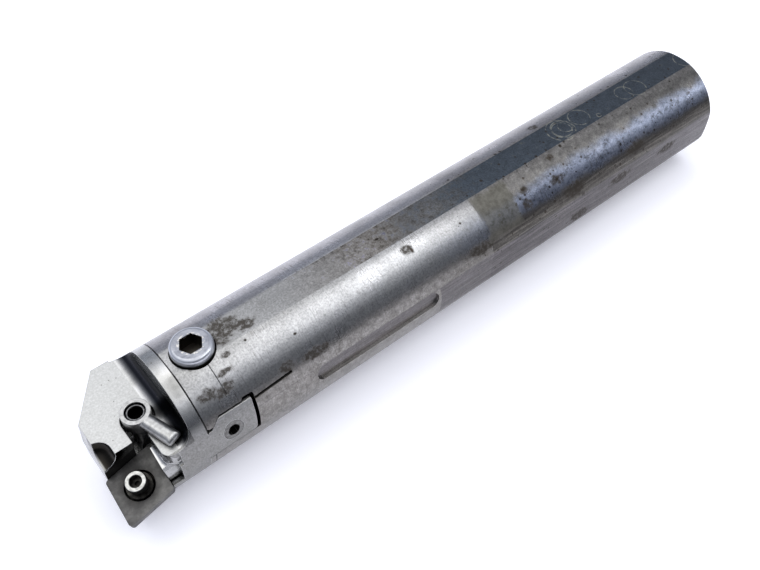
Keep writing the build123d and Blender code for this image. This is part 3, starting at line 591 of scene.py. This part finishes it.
joint_soft = add(tree, "ShaderNodeMath", {0: joint_dirt, 1: 0.85}, operation="MULTIPLY")
dirt_and_shade = add(tree, "ShaderNodeMath", {0: crevice, 1: joint_soft}, operation="MAXIMUM")
steel = add(tree, "ShaderNodeMix", {0: dirt_and_shade, 6: steel, 7: linear("#0D0C0B")}, data_type="RGBA").outputs[2]
tree.links.new(steel, shader.inputs["Base Color"])

# Stains and the clamp mark are matt, and clean steel is glossy with a fine grain.
gloss = add(
    tree, "ShaderNodeMapRange",
    {"Value": clouds.outputs["Fac"], "From Min": 0.3, "From Max": 0.7, "To Min": 0.34, "To Max": 0.25},
)
matt = add(tree, "ShaderNodeMath", {0: oil, 1: patch}, operation="MAXIMUM")
rough = add(tree, "ShaderNodeMix", {0: matt, 2: gloss, 3: 0.6}, data_type="FLOAT")
tree.links.new(rough.outputs[0], shader.inputs["Roughness"])
fine_lines = add(tree, "ShaderNodeMath", {0: lines.outputs["Fac"], 1: off_flat}, operation="MULTIPLY")
fine_lines = add(
    tree, "ShaderNodeMix", {0: on_end, 2: fine_lines, 3: turned_lines.outputs["Fac"]}, data_type="FLOAT",
)
relief = add(
    tree, "ShaderNodeMath", {0: speckle.outputs["Fac"], 1: 0.6, 2: fine_lines}, operation="MULTIPLY_ADD",
)
bump = add(tree, "ShaderNodeBump", {"Height": relief, "Strength": 0.7, "Distance": 0.06 * MM})
tree.links.new(bump.outputs[0], shader.inputs["Normal"])
dress(bar, ground_steel)

# Cap screw: an M10 socket screw whose black finish has worn to bare grey steel on its head. It
# draws the jaws together, and its hexagon has been chewed by keys.
SCREW_PLACE = (-186.1 * MM, 0.0, 28.5 * MM)
cap_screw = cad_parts["jaw_clamp_screw"]
sharpen(cap_screw)
worn_screw_steel, tree, shader, place = metal("worn_black_screw_steel")
centred = add(tree, "ShaderNodeVectorMath", {0: place, 1: SCREW_PLACE}, operation="SUBTRACT")
out = distance_across(tree, centred, (1.0, 1.0, 0.0))
depth = add(tree, "ShaderNodeSeparateXYZ", {"Vector": centred}).outputs["Z"]
wear = add(
    tree, "ShaderNodeTexNoise", {"Vector": place, "Scale": 1 / (3 * MM), "Detail": 6.0, "Roughness": 0.65},
)
ring_steel = stops(
    add(tree, "ShaderNodeValToRGB", {"Fac": wear.outputs["Fac"]}),
    (0.3, "#767880"), (0.5, "#92949B"), (0.7, "#A8AAB0"),
)
# The rounded rim is painted light: a painted highlight where light catches it, on steel where the finish
# has gone altogether.
painted_rim_highlight_and_wear = add(tree, "ShaderNodeMapRange", {"Value": out, "From Min": 6.4 * MM, "From Max": 7.3 * MM})
screw_colour = add(
    tree, "ShaderNodeMix", {0: painted_rim_highlight_and_wear, 6: ring_steel, 7: linear("#C3C6CC")}, data_type="RGBA",
).outputs[2]
# Below the rim the black finish is whole and oily, and in the socket the black finish carries painted
# shade.
sunk = add(tree, "ShaderNodeMapRange", {"Value": depth, "From Min": -2.2 * MM, "From Max": -3.4 * MM})
inside_reach = add(tree, "ShaderNodeMath", {0: out, 1: 4.9 * MM}, operation="LESS_THAN")
inside_depth = add(tree, "ShaderNodeMath", {0: depth, 1: -0.05 * MM}, operation="LESS_THAN")
socket_black_and_shade = add(tree, "ShaderNodeMath", {0: inside_reach, 1: inside_depth}, operation="MULTIPLY")
black_finish_and_shade = add(tree, "ShaderNodeMath", {0: sunk, 1: socket_black_and_shade}, operation="MAXIMUM")
screw_colour = add(
    tree, "ShaderNodeMix", {0: black_finish_and_shade, 6: screw_colour, 7: linear("#26241F")}, data_type="RGBA",
).outputs[2]
# The bottom of the socket is drawn grey.
socket_bottom = add(tree, "ShaderNodeMath", {0: depth, 1: -6.0 * MM, 2: 0.1 * MM}, operation="COMPARE")
in_reach = add(tree, "ShaderNodeMath", {0: socket_bottom, 1: inside_reach}, operation="MULTIPLY")
screw_colour = add(
    tree, "ShaderNodeMix", {0: in_reach, 6: screw_colour, 7: linear("#4E4A45")}, data_type="RGBA",
).outputs[2]
# Bright burrs where keys have slipped, just inside and outside the mouth of the socket.
burr_noise = add(tree, "ShaderNodeTexNoise", {"Vector": place, "Scale": 1 / (0.8 * MM), "Detail": 2.0})
mouth = add(tree, "ShaderNodeMath", {0: out, 1: 4.35 * MM, 2: 0.6 * MM}, operation="COMPARE")
near_top = add(tree, "ShaderNodeMath", {0: depth, 1: -0.9 * MM}, operation="GREATER_THAN")
burr_place = add(tree, "ShaderNodeMath", {0: mouth, 1: near_top}, operation="MULTIPLY")
burr_patch = add(
    tree, "ShaderNodeMapRange", {"Value": burr_noise.outputs["Fac"], "From Min": 0.5, "From Max": 0.6},
)
burrs = add(tree, "ShaderNodeMath", {0: burr_place, 1: burr_patch}, operation="MULTIPLY")
screw_colour = add(
    tree, "ShaderNodeMix", {0: burrs, 6: screw_colour, 7: linear("#C9C7C2")}, data_type="RGBA",
).outputs[2]
tree.links.new(screw_colour, shader.inputs["Base Color"])
dry = add(
    tree, "ShaderNodeMapRange",
    {"Value": wear.outputs["Fac"], "From Min": 0.3, "From Max": 0.7, "To Min": 0.42, "To Max": 0.3},
)
tree.links.new(dry.outputs[0], shader.inputs["Roughness"])
bump = add(
    tree, "ShaderNodeBump", {"Height": burr_noise.outputs["Fac"], "Strength": 0.2, "Distance": 0.05 * MM},
)
tree.links.new(bump.outputs[0], shader.inputs["Normal"])
dress(cap_screw, worn_screw_steel)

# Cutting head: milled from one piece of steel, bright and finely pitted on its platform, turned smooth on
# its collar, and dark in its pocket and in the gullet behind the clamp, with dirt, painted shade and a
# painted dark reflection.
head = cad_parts["cutting_head"]
sharpen(head)
PLATFORM_Z = 10 * MM
COLLAR_FACE_X = -202.05 * MM
SEAT = Vector((-223.9, -18.1, -3.5)) * MM
SEAT_DROP_AHEAD = math.tan(math.radians(8.5))
SEAT_DROP_ASIDE = math.tan(math.radians(10.0))
INSERT_HALF_DIAGONAL = 14.78 * MM
seat_up = Vector((-SEAT_DROP_AHEAD, -SEAT_DROP_ASIDE, 1.0)).normalized()
seat_along = Vector((1.0, 0.0, SEAT_DROP_AHEAD)).normalized()
seat_across = seat_up.cross(seat_along)
pocket_corner = SEAT + (seat_along + seat_across).normalized() * INSERT_HALF_DIAGONAL
WALL_LEAD = math.radians(5)
front_wall = seat_along * math.sin(WALL_LEAD) - seat_across * math.cos(WALL_LEAD)
near_wall = seat_across * math.sin(WALL_LEAD) - seat_along * math.cos(WALL_LEAD)


def rubbed_and_highlighted_edges(tree, rounding, wear):
    """The normal with every edge rounded over, and how far each edge is drawn bright, as rubbed wear with a
    painted highlight.
    """
    rounded = add(tree, "ShaderNodeBevel", {"Radius": rounding}, samples=4)
    true_face = add(tree, "ShaderNodeNewGeometry").outputs["True Normal"]
    agreement = add(tree, "ShaderNodeVectorMath", {0: rounded, 1: true_face}, operation="DOT_PRODUCT")
    limits = {"From Min": 0.99, "From Max": 0.86, "To Max": wear}
    return rounded, add(tree, "ShaderNodeMapRange", {"Value": agreement.outputs["Value"], **limits})


milled_steel, tree, shader, place = metal("milled_head_steel")
axes = add(tree, "ShaderNodeSeparateXYZ", {"Vector": place})
clouds = add(
    tree, "ShaderNodeTexNoise", {"Vector": place, "Scale": 1 / (9 * MM), "Detail": 6.0, "Roughness": 0.6},
)
grain = add(
    tree, "ShaderNodeTexNoise", {"Vector": place, "Scale": 1 / (0.7 * MM), "Detail": 4.0, "Roughness": 0.7},
)
steel = stops(
    add(tree, "ShaderNodeValToRGB", {"Fac": clouds.outputs["Fac"]}),
    (0.3, "#8E8E8C"), (0.5, "#A9A9A8"), (0.7, "#B9B9BA"),
)
# The platform: the same steel, newly ground, with a sparkling grain.
platform = add(
    tree, "ShaderNodeMath", {0: axes.outputs["Z"], 1: PLATFORM_Z, 2: 0.05 * MM}, operation="COMPARE",
)
bright = stops(
    add(tree, "ShaderNodeValToRGB", {"Fac": grain.outputs["Fac"]}),
    (0.3, "#B0B0AE"), (0.5, "#BEBEBC"), (0.68, "#CBCBCA"),
)
steel = add(tree, "ShaderNodeMix", {0: platform, 6: steel, 7: bright}, data_type="RGBA").outputs[2]
# The gullet is polished by chips, and painted dark blue-grey as a painted dark reflection in its hollow.
past_edge = add(
    tree, "ShaderNodeMapRange",
    {"Value": axes.outputs["X"], "From Min": -207.6 * MM, "From Max": -204.6 * MM},
)
before_collar = add(tree, "ShaderNodeMath", {0: axes.outputs["X"], 1: COLLAR_FACE_X}, operation="LESS_THAN")
over_platform = add(
    tree, "ShaderNodeMath", {0: axes.outputs["Z"], 1: PLATFORM_Z + 0.02 * MM}, operation="GREATER_THAN",
)
in_gullet = add(tree, "ShaderNodeMath", {0: before_collar, 1: over_platform}, operation="MULTIPLY")
painted_gullet_reflection = add(tree, "ShaderNodeMath", {0: in_gullet, 1: past_edge}, operation="MULTIPLY")
steel = add(tree, "ShaderNodeMix", {0: painted_gullet_reflection, 6: steel, 7: linear("#2C2D32")}, data_type="RGBA").outputs[2]
# The near side, with the flank of the tongue, is dull as the bar is beside it.
turn = turn_from_top(tree, axes)
flank = add(
    tree, "ShaderNodeMapRange",
    {"Value": turn, "From Min": math.radians(52), "From Max": math.radians(66), "To Max": 0.75},
)
out = distance_across(tree, place, (0.0, 1.0, 1.0))
on_round = add(tree, "ShaderNodeMath", {0: out, 1: 24.5 * MM}, operation="GREATER_THAN")
near_flank = add(tree, "ShaderNodeMath", {0: flank, 1: on_round}, operation="MULTIPLY")
dull_steel = stops(
    add(tree, "ShaderNodeValToRGB", {"Fac": grain.outputs["Fac"]}),
    (0.3, "#5E5C59"), (0.5, "#807F7C"), (0.7, "#9A9997"),
)
steel = add(tree, "ShaderNodeMix", {0: near_flank, 6: steel, 7: dull_steel}, data_type="RGBA").outputs[2]
# Pits, a fraction of a millimetre across.
pits = add(tree, "ShaderNodeTexVoronoi", {"Vector": place, "Scale": 1 / (2.6 * MM), "Randomness": 1.0})
pit_size = add(tree, "ShaderNodeSeparateXYZ", {"Vector": pits.outputs["Color"]})
pit_reach = add(tree, "ShaderNodeMath", {0: pit_size.outputs["X"], 1: 0.11}, operation="MULTIPLY")
pitted = add(tree, "ShaderNodeMath", {0: pits.outputs["Distance"], 1: pit_reach}, operation="LESS_THAN")
pit_depth = add(tree, "ShaderNodeMath", {0: pitted, 1: 0.6}, operation="MULTIPLY")
steel = add(
    tree, "ShaderNodeMix", {0: pit_depth, 6: steel, 7: linear("#4C4843")}, data_type="RGBA",
).outputs[2]
# The chip scoop is drawn dark inside.
SCOOP_MIDDLE = (-231.2 * MM, -7.1 * MM, PLATFORM_Z)
from_scoop = add(tree, "ShaderNodeVectorMath", {0: place, 1: SCOOP_MIDDLE}, operation="SUBTRACT")
in_scoop = add(tree, "ShaderNodeVectorMath", {0: from_scoop}, operation="LENGTH")
scoop_reach = add(
    tree, "ShaderNodeMapRange",
    {"Value": in_scoop.outputs["Value"], "From Min": 9.5 * MM, "From Max": 8.5 * MM},
)
under_platform = add(
    tree, "ShaderNodeMath", {0: axes.outputs["Z"], 1: PLATFORM_Z - 0.05 * MM}, operation="LESS_THAN",
)
behind_front = add(
    tree, "ShaderNodeMapRange",
    {"Value": axes.outputs["X"], "From Min": -231.4 * MM, "From Max": -230.4 * MM},
)
scoop_dark = add(tree, "ShaderNodeMath", {0: scoop_reach, 1: under_platform}, operation="MULTIPLY")
scoop_dark = add(tree, "ShaderNodeMath", {0: scoop_dark, 1: behind_front}, operation="MULTIPLY")
steel = add(
    tree, "ShaderNodeMix", {0: scoop_dark, 6: steel, 7: linear("#262421")}, data_type="RGBA",
).outputs[2]
# Edges are drawn bright: rubbed wear with a painted highlight.
soft_normal, edge_wear_and_highlight = rubbed_and_highlighted_edges(tree, 0.35 * MM, 0.8)
steel = add(tree, "ShaderNodeMix", {0: edge_wear_and_highlight, 6: steel, 7: linear("#DFDFDD")}, data_type="RGBA").outputs[2]
# The pocket's walls are painted dark as shade, black below the rim and grey above it. Dirt and painted
# shade fill every deep corner, and dirt fills the seams between head and bar.
from_corner = add(tree, "ShaderNodeVectorMath", {0: place, 1: tuple(pocket_corner)}, operation="SUBTRACT")
front_gap = add(
    tree, "ShaderNodeVectorMath", {0: from_corner, 1: tuple(front_wall)}, operation="DOT_PRODUCT",
)
near_gap = add(tree, "ShaderNodeVectorMath", {0: from_corner, 1: tuple(near_wall)}, operation="DOT_PRODUCT")
at_front = add(
    tree, "ShaderNodeMath", {0: front_gap.outputs["Value"], 1: 0.0, 2: 0.12 * MM}, operation="COMPARE",
)
at_near = add(
    tree, "ShaderNodeMath", {0: near_gap.outputs["Value"], 1: 0.0, 2: 0.12 * MM}, operation="COMPARE",
)
past_front = add(
    tree, "ShaderNodeMath", {0: front_gap.outputs["Value"], 1: -0.3 * MM}, operation="GREATER_THAN",
)
past_near = add(
    tree, "ShaderNodeMath", {0: near_gap.outputs["Value"], 1: -0.3 * MM}, operation="GREATER_THAN",
)
on_front = add(tree, "ShaderNodeMath", {0: at_front, 1: past_near}, operation="MULTIPLY")
on_near = add(tree, "ShaderNodeMath", {0: at_near, 1: past_front}, operation="MULTIPLY")
on_wall = add(tree, "ShaderNodeMath", {0: on_front, 1: on_near}, operation="MAXIMUM")
over_seat = add(tree, "ShaderNodeVectorMath", {0: from_corner, 1: tuple(seat_up)}, operation="DOT_PRODUCT")
wall_shade_depth = add(
    tree, "ShaderNodeMapRange",
    {"Value": over_seat.outputs["Value"], "From Min": 6.3 * MM, "From Max": 5.9 * MM, "To Min": 0.55},
)
painted_wall_shade = add(tree, "ShaderNodeMath", {0: on_wall, 1: wall_shade_depth}, operation="MULTIPLY")
in_corners = corner_dirt_and_shade(tree, 5.0 * MM, 0.6, 0.25)
dirt_and_shade = add(tree, "ShaderNodeMath", {0: painted_wall_shade, 1: in_corners}, operation="MAXIMUM")
joint_gap = add(
    tree, "ShaderNodeMath", {0: axes.outputs["X"], 1: JOINT_X, 2: JOINT_GAP}, operation="COMPARE",
)
TONGUE_TOP_Z = 9.4 * MM
TONGUE_UNDERSIDE_Z = -2.6 * MM
over_hook = add(tree, "ShaderNodeMath", {0: axes.outputs["Z"], 1: TONGUE_TOP_Z}, operation="GREATER_THAN")
joint_dirt = add(tree, "ShaderNodeMath", {0: joint_gap, 1: over_hook}, operation="MULTIPLY")
floor_gap = add(
    tree, "ShaderNodeMath", {0: axes.outputs["Z"], 1: TONGUE_UNDERSIDE_Z, 2: JOINT_GAP},
    operation="COMPARE",
)
floor_run = add(tree, "ShaderNodeMath", {0: axes.outputs["X"], 1: -199.2 * MM}, operation="GREATER_THAN")
floor_dirt = add(tree, "ShaderNodeMath", {0: floor_gap, 1: floor_run}, operation="MULTIPLY")
seams = add(tree, "ShaderNodeMath", {0: joint_dirt, 1: floor_dirt}, operation="MAXIMUM")
seams_soft = add(tree, "ShaderNodeMath", {0: seams, 1: 0.8}, operation="MULTIPLY")
dirt_and_shade = add(tree, "ShaderNodeMath", {0: dirt_and_shade, 1: seams_soft}, operation="MAXIMUM")
steel = add(tree, "ShaderNodeMix", {0: dirt_and_shade, 6: steel, 7: linear("#0F0E0D")}, data_type="RGBA").outputs[2]
tree.links.new(steel, shader.inputs["Base Color"])
# Smooth in the gullet and on the collar, matt on the platform and the flank.
matt = add(tree, "ShaderNodeMath", {0: near_flank, 1: platform}, operation="MAXIMUM")
rough = add(tree, "ShaderNodeMix", {0: matt, 2: 0.24, 3: 0.5}, data_type="FLOAT")
tree.links.new(rough.outputs[0], shader.inputs["Roughness"])
bump = add(
    tree, "ShaderNodeBump",
    {"Height": grain.outputs["Fac"], "Strength": 0.2, "Distance": 0.03 * MM, "Normal": soft_normal},
)
tree.links.new(bump.outputs[0], shader.inputs["Normal"])
dress(head, milled_steel)

# Tongue set screw: a small socket screw of black screw steel in the flank of the tongue. It is
# screwed in flush, and its face has worn to the grey of the bar round it.
set_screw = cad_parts["tongue_set_screw"]
sharpen(set_screw)
SET_SCREW_PLACE = (-187.9 * MM, -25.4 * MM, 4.7 * MM)
level_screw_steel, tree, shader, place = metal("level_screw_steel")
shader.inputs["Roughness"].default_value = 0.5
centred = add(tree, "ShaderNodeVectorMath", {0: place, 1: SET_SCREW_PLACE}, operation="SUBTRACT")
out = distance_across(tree, centred, (1.0, 0.0, 1.0))
speckle = add(
    tree, "ShaderNodeTexNoise", {"Vector": place, "Scale": 1 / (0.9 * MM), "Detail": 5.0, "Roughness": 0.7},
)
face = stops(
    add(tree, "ShaderNodeValToRGB", {"Fac": speckle.outputs["Fac"]}),
    (0.3, "#5A5856"), (0.5, "#7A7977"), (0.7, "#929190"),
)
# The socket is black finish with painted shade, and a black ring marks the gap round the screw.
inner = add(tree, "ShaderNodeMapRange", {"Value": out, "From Min": 2.4 * MM, "From Max": 2.2 * MM})
outer = add(tree, "ShaderNodeMapRange", {"Value": out, "From Min": 3.8 * MM, "From Max": 4.0 * MM})
black_finish_and_shade = add(tree, "ShaderNodeMath", {0: inner, 1: outer}, operation="MAXIMUM")
face = add(tree, "ShaderNodeMix", {0: black_finish_and_shade, 6: face, 7: linear("#151413")}, data_type="RGBA").outputs[2]
tree.links.new(face, shader.inputs["Base Color"])
dress(set_screw, level_screw_steel)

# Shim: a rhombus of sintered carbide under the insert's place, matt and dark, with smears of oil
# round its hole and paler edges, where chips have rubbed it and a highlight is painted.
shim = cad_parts["shim"]
sharpen(shim)
shim_carbide, tree, shader, place = metal("sintered_carbide")
shader.inputs["Metallic"].default_value = 0.85
smears = add(
    tree, "ShaderNodeTexNoise", {"Vector": place, "Scale": 1 / (6 * MM), "Detail": 6.0, "Roughness": 0.65},
)
carbide = stops(
    add(tree, "ShaderNodeValToRGB", {"Fac": smears.outputs["Fac"]}),
    (0.3, "#3C3B3A"), (0.5, "#545352"), (0.7, "#706F6D"),
)
from_pin = add(tree, "ShaderNodeVectorMath", {0: place, 1: tuple(SEAT)}, operation="SUBTRACT")
out = add(tree, "ShaderNodeVectorMath", {0: from_pin}, operation="LENGTH").outputs["Value"]
oily = add(
    tree, "ShaderNodeMapRange", {"Value": out, "From Min": 8.5 * MM, "From Max": 5.5 * MM, "To Max": 0.45},
)
carbide = add(
    tree, "ShaderNodeMix", {0: oily, 6: carbide, 7: linear("#262523")}, data_type="RGBA",
).outputs[2]
# Edges are drawn paler: rubbed wear with a painted highlight.
soft_normal, edge_wear_and_highlight = rubbed_and_highlighted_edges(tree, 0.25 * MM, 0.6)
carbide = add(
    tree, "ShaderNodeMix", {0: edge_wear_and_highlight, 6: carbide, 7: linear("#96958E")}, data_type="RGBA",
).outputs[2]
# Dirt and painted shade darken its corners.
dirt_and_shade = corner_dirt_and_shade(tree, 4.0 * MM, 0.7, 0.3, most=0.9)
carbide = add(
    tree, "ShaderNodeMix", {0: dirt_and_shade, 6: carbide, 7: linear("#11100F")}, data_type="RGBA",
).outputs[2]
tree.links.new(carbide, shader.inputs["Base Color"])
shader.inputs["Roughness"].default_value = 0.52
bump = add(
    tree, "ShaderNodeBump",
    {"Height": smears.outputs["Fac"], "Strength": 0.15, "Distance": 0.05 * MM, "Normal": soft_normal},
)
tree.links.new(bump.outputs[0], shader.inputs["Normal"])
dress(shim, shim_carbide)

# Lock pin: black screw steel, threaded into the seat through the shim. Inserts have rubbed the
# rim of its head to a bright ring round its socket.
lock_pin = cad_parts["lock_pin"]
sharpen(lock_pin)
pin_steel, tree, shader, place = metal("rubbed_pin_steel")
shader.inputs["Roughness"].default_value = 0.38
from_seat = add(tree, "ShaderNodeVectorMath", {0: place, 1: tuple(SEAT)}, operation="SUBTRACT")
rise = add(
    tree, "ShaderNodeVectorMath", {0: from_seat, 1: tuple(seat_up)}, operation="DOT_PRODUCT",
).outputs["Value"]
speckle = add(tree, "ShaderNodeTexNoise", {"Vector": place, "Scale": 1 / (1.2 * MM), "Detail": 4.0})
body = stops(
    add(tree, "ShaderNodeValToRGB", {"Fac": speckle.outputs["Fac"]}),
    (0.35, "#1D1C1B"), (0.55, "#2F2E2C"), (0.7, "#45443F"),
)
top = stops(
    add(tree, "ShaderNodeValToRGB", {"Fac": speckle.outputs["Fac"]}),
    (0.3, "#8E8E8B"), (0.6, "#BDBDBA"),
)
rubbed = add(tree, "ShaderNodeMapRange", {"Value": rise, "From Min": 5.82 * MM, "From Max": 5.93 * MM})
pin_colour = add(tree, "ShaderNodeMix", {0: rubbed, 6: body, 7: top}, data_type="RGBA").outputs[2]
tree.links.new(pin_colour, shader.inputs["Base Color"])
dress(lock_pin, pin_steel)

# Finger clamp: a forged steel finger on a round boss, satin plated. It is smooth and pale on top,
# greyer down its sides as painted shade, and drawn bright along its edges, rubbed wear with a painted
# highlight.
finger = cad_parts["finger_clamp"]
sharpen(finger)
CLAMP_PLACE = (-212.8 * MM, -2.4 * MM, 14.2 * MM)
satin_plate, tree, shader, place = metal("satin_plated_steel")
centred = add(tree, "ShaderNodeVectorMath", {0: place, 1: CLAMP_PLACE}, operation="SUBTRACT")
depth = add(tree, "ShaderNodeSeparateXYZ", {"Vector": centred}).outputs["Z"]
fine = add(
    tree, "ShaderNodeTexNoise",
    {"Vector": place, "Scale": 1 / (1.4 * MM), "Detail": 5.0, "Roughness": 0.65},
)
plate = stops(
    add(tree, "ShaderNodeValToRGB", {"Fac": fine.outputs["Fac"]}),
    (0.3, "#8C8C8B"), (0.5, "#A3A3A2"), (0.7, "#B4B4B3"),
)
# Painted shade: the finger is drawn greyer down its sides.
low = add(
    tree, "ShaderNodeMapRange",
    {"Value": depth, "From Min": -0.8 * MM, "From Max": -3.2 * MM, "To Max": 0.75},
)
plate = add(tree, "ShaderNodeMix", {0: low, 6: plate, 7: linear("#6B6A69")}, data_type="RGBA").outputs[2]
# Edges are drawn bright: rubbed wear with a painted highlight.
soft_normal, edge_wear_and_highlight = rubbed_and_highlighted_edges(tree, 0.3 * MM, 0.7)
plate = add(tree, "ShaderNodeMix", {0: edge_wear_and_highlight, 6: plate, 7: linear("#EDEDEC")}, data_type="RGBA").outputs[2]
# Dirt and painted shade darken its corners.
dirt_and_shade = corner_dirt_and_shade(tree, 3.0 * MM, 0.6, 0.2)
plate = add(tree, "ShaderNodeMix", {0: dirt_and_shade, 6: plate, 7: linear("#141312")}, data_type="RGBA").outputs[2]
tree.links.new(plate, shader.inputs["Base Color"])
shader.inputs["Roughness"].default_value = 0.34
bump = add(
    tree, "ShaderNodeBump",
    {"Height": fine.outputs["Fac"], "Strength": 0.12, "Distance": 0.03 * MM, "Normal": soft_normal},
)
tree.links.new(bump.outputs[0], shader.inputs["Normal"])
dress(finger, satin_plate)

# Clamp screw: a socket screw of black screw steel, sunk in the boss of the finger that it holds
# down. Its rim is worn grey, and its socket is black finish with painted shade.
clamp_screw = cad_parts["clamp_screw"]
sharpen(clamp_screw)
CLAMP_SCREW_TOP = (-212.8 * MM, -2.4 * MM, 13.5 * MM)
sunk_screw_steel, tree, shader, place = metal("sunk_screw_steel")
shader.inputs["Roughness"].default_value = 0.42
centred = add(tree, "ShaderNodeVectorMath", {0: place, 1: CLAMP_SCREW_TOP}, operation="SUBTRACT")
out = distance_across(tree, centred, (1.0, 1.0, 0.0))
depth = add(tree, "ShaderNodeSeparateXYZ", {"Vector": centred}).outputs["Z"]
speckle = add(tree, "ShaderNodeTexNoise", {"Vector": place, "Scale": 1 / (0.8 * MM), "Detail": 4.0})
rim_steel = stops(
    add(tree, "ShaderNodeValToRGB", {"Fac": speckle.outputs["Fac"]}),
    (0.3, "#4A4A4A"), (0.5, "#6E6E6F"), (0.7, "#8B8B8C"),
)
inside_reach = add(tree, "ShaderNodeMath", {0: out, 1: 2.75 * MM}, operation="LESS_THAN")
below_top = add(tree, "ShaderNodeMath", {0: depth, 1: -0.05 * MM}, operation="LESS_THAN")
socket_black_and_shade = add(tree, "ShaderNodeMath", {0: inside_reach, 1: below_top}, operation="MULTIPLY")
screw_colour = add(
    tree, "ShaderNodeMix", {0: socket_black_and_shade, 6: rim_steel, 7: linear("#0F0E0E")}, data_type="RGBA",
).outputs[2]
tree.links.new(screw_colour, shader.inputs["Base Color"])
dress(clamp_screw, sunk_screw_steel)
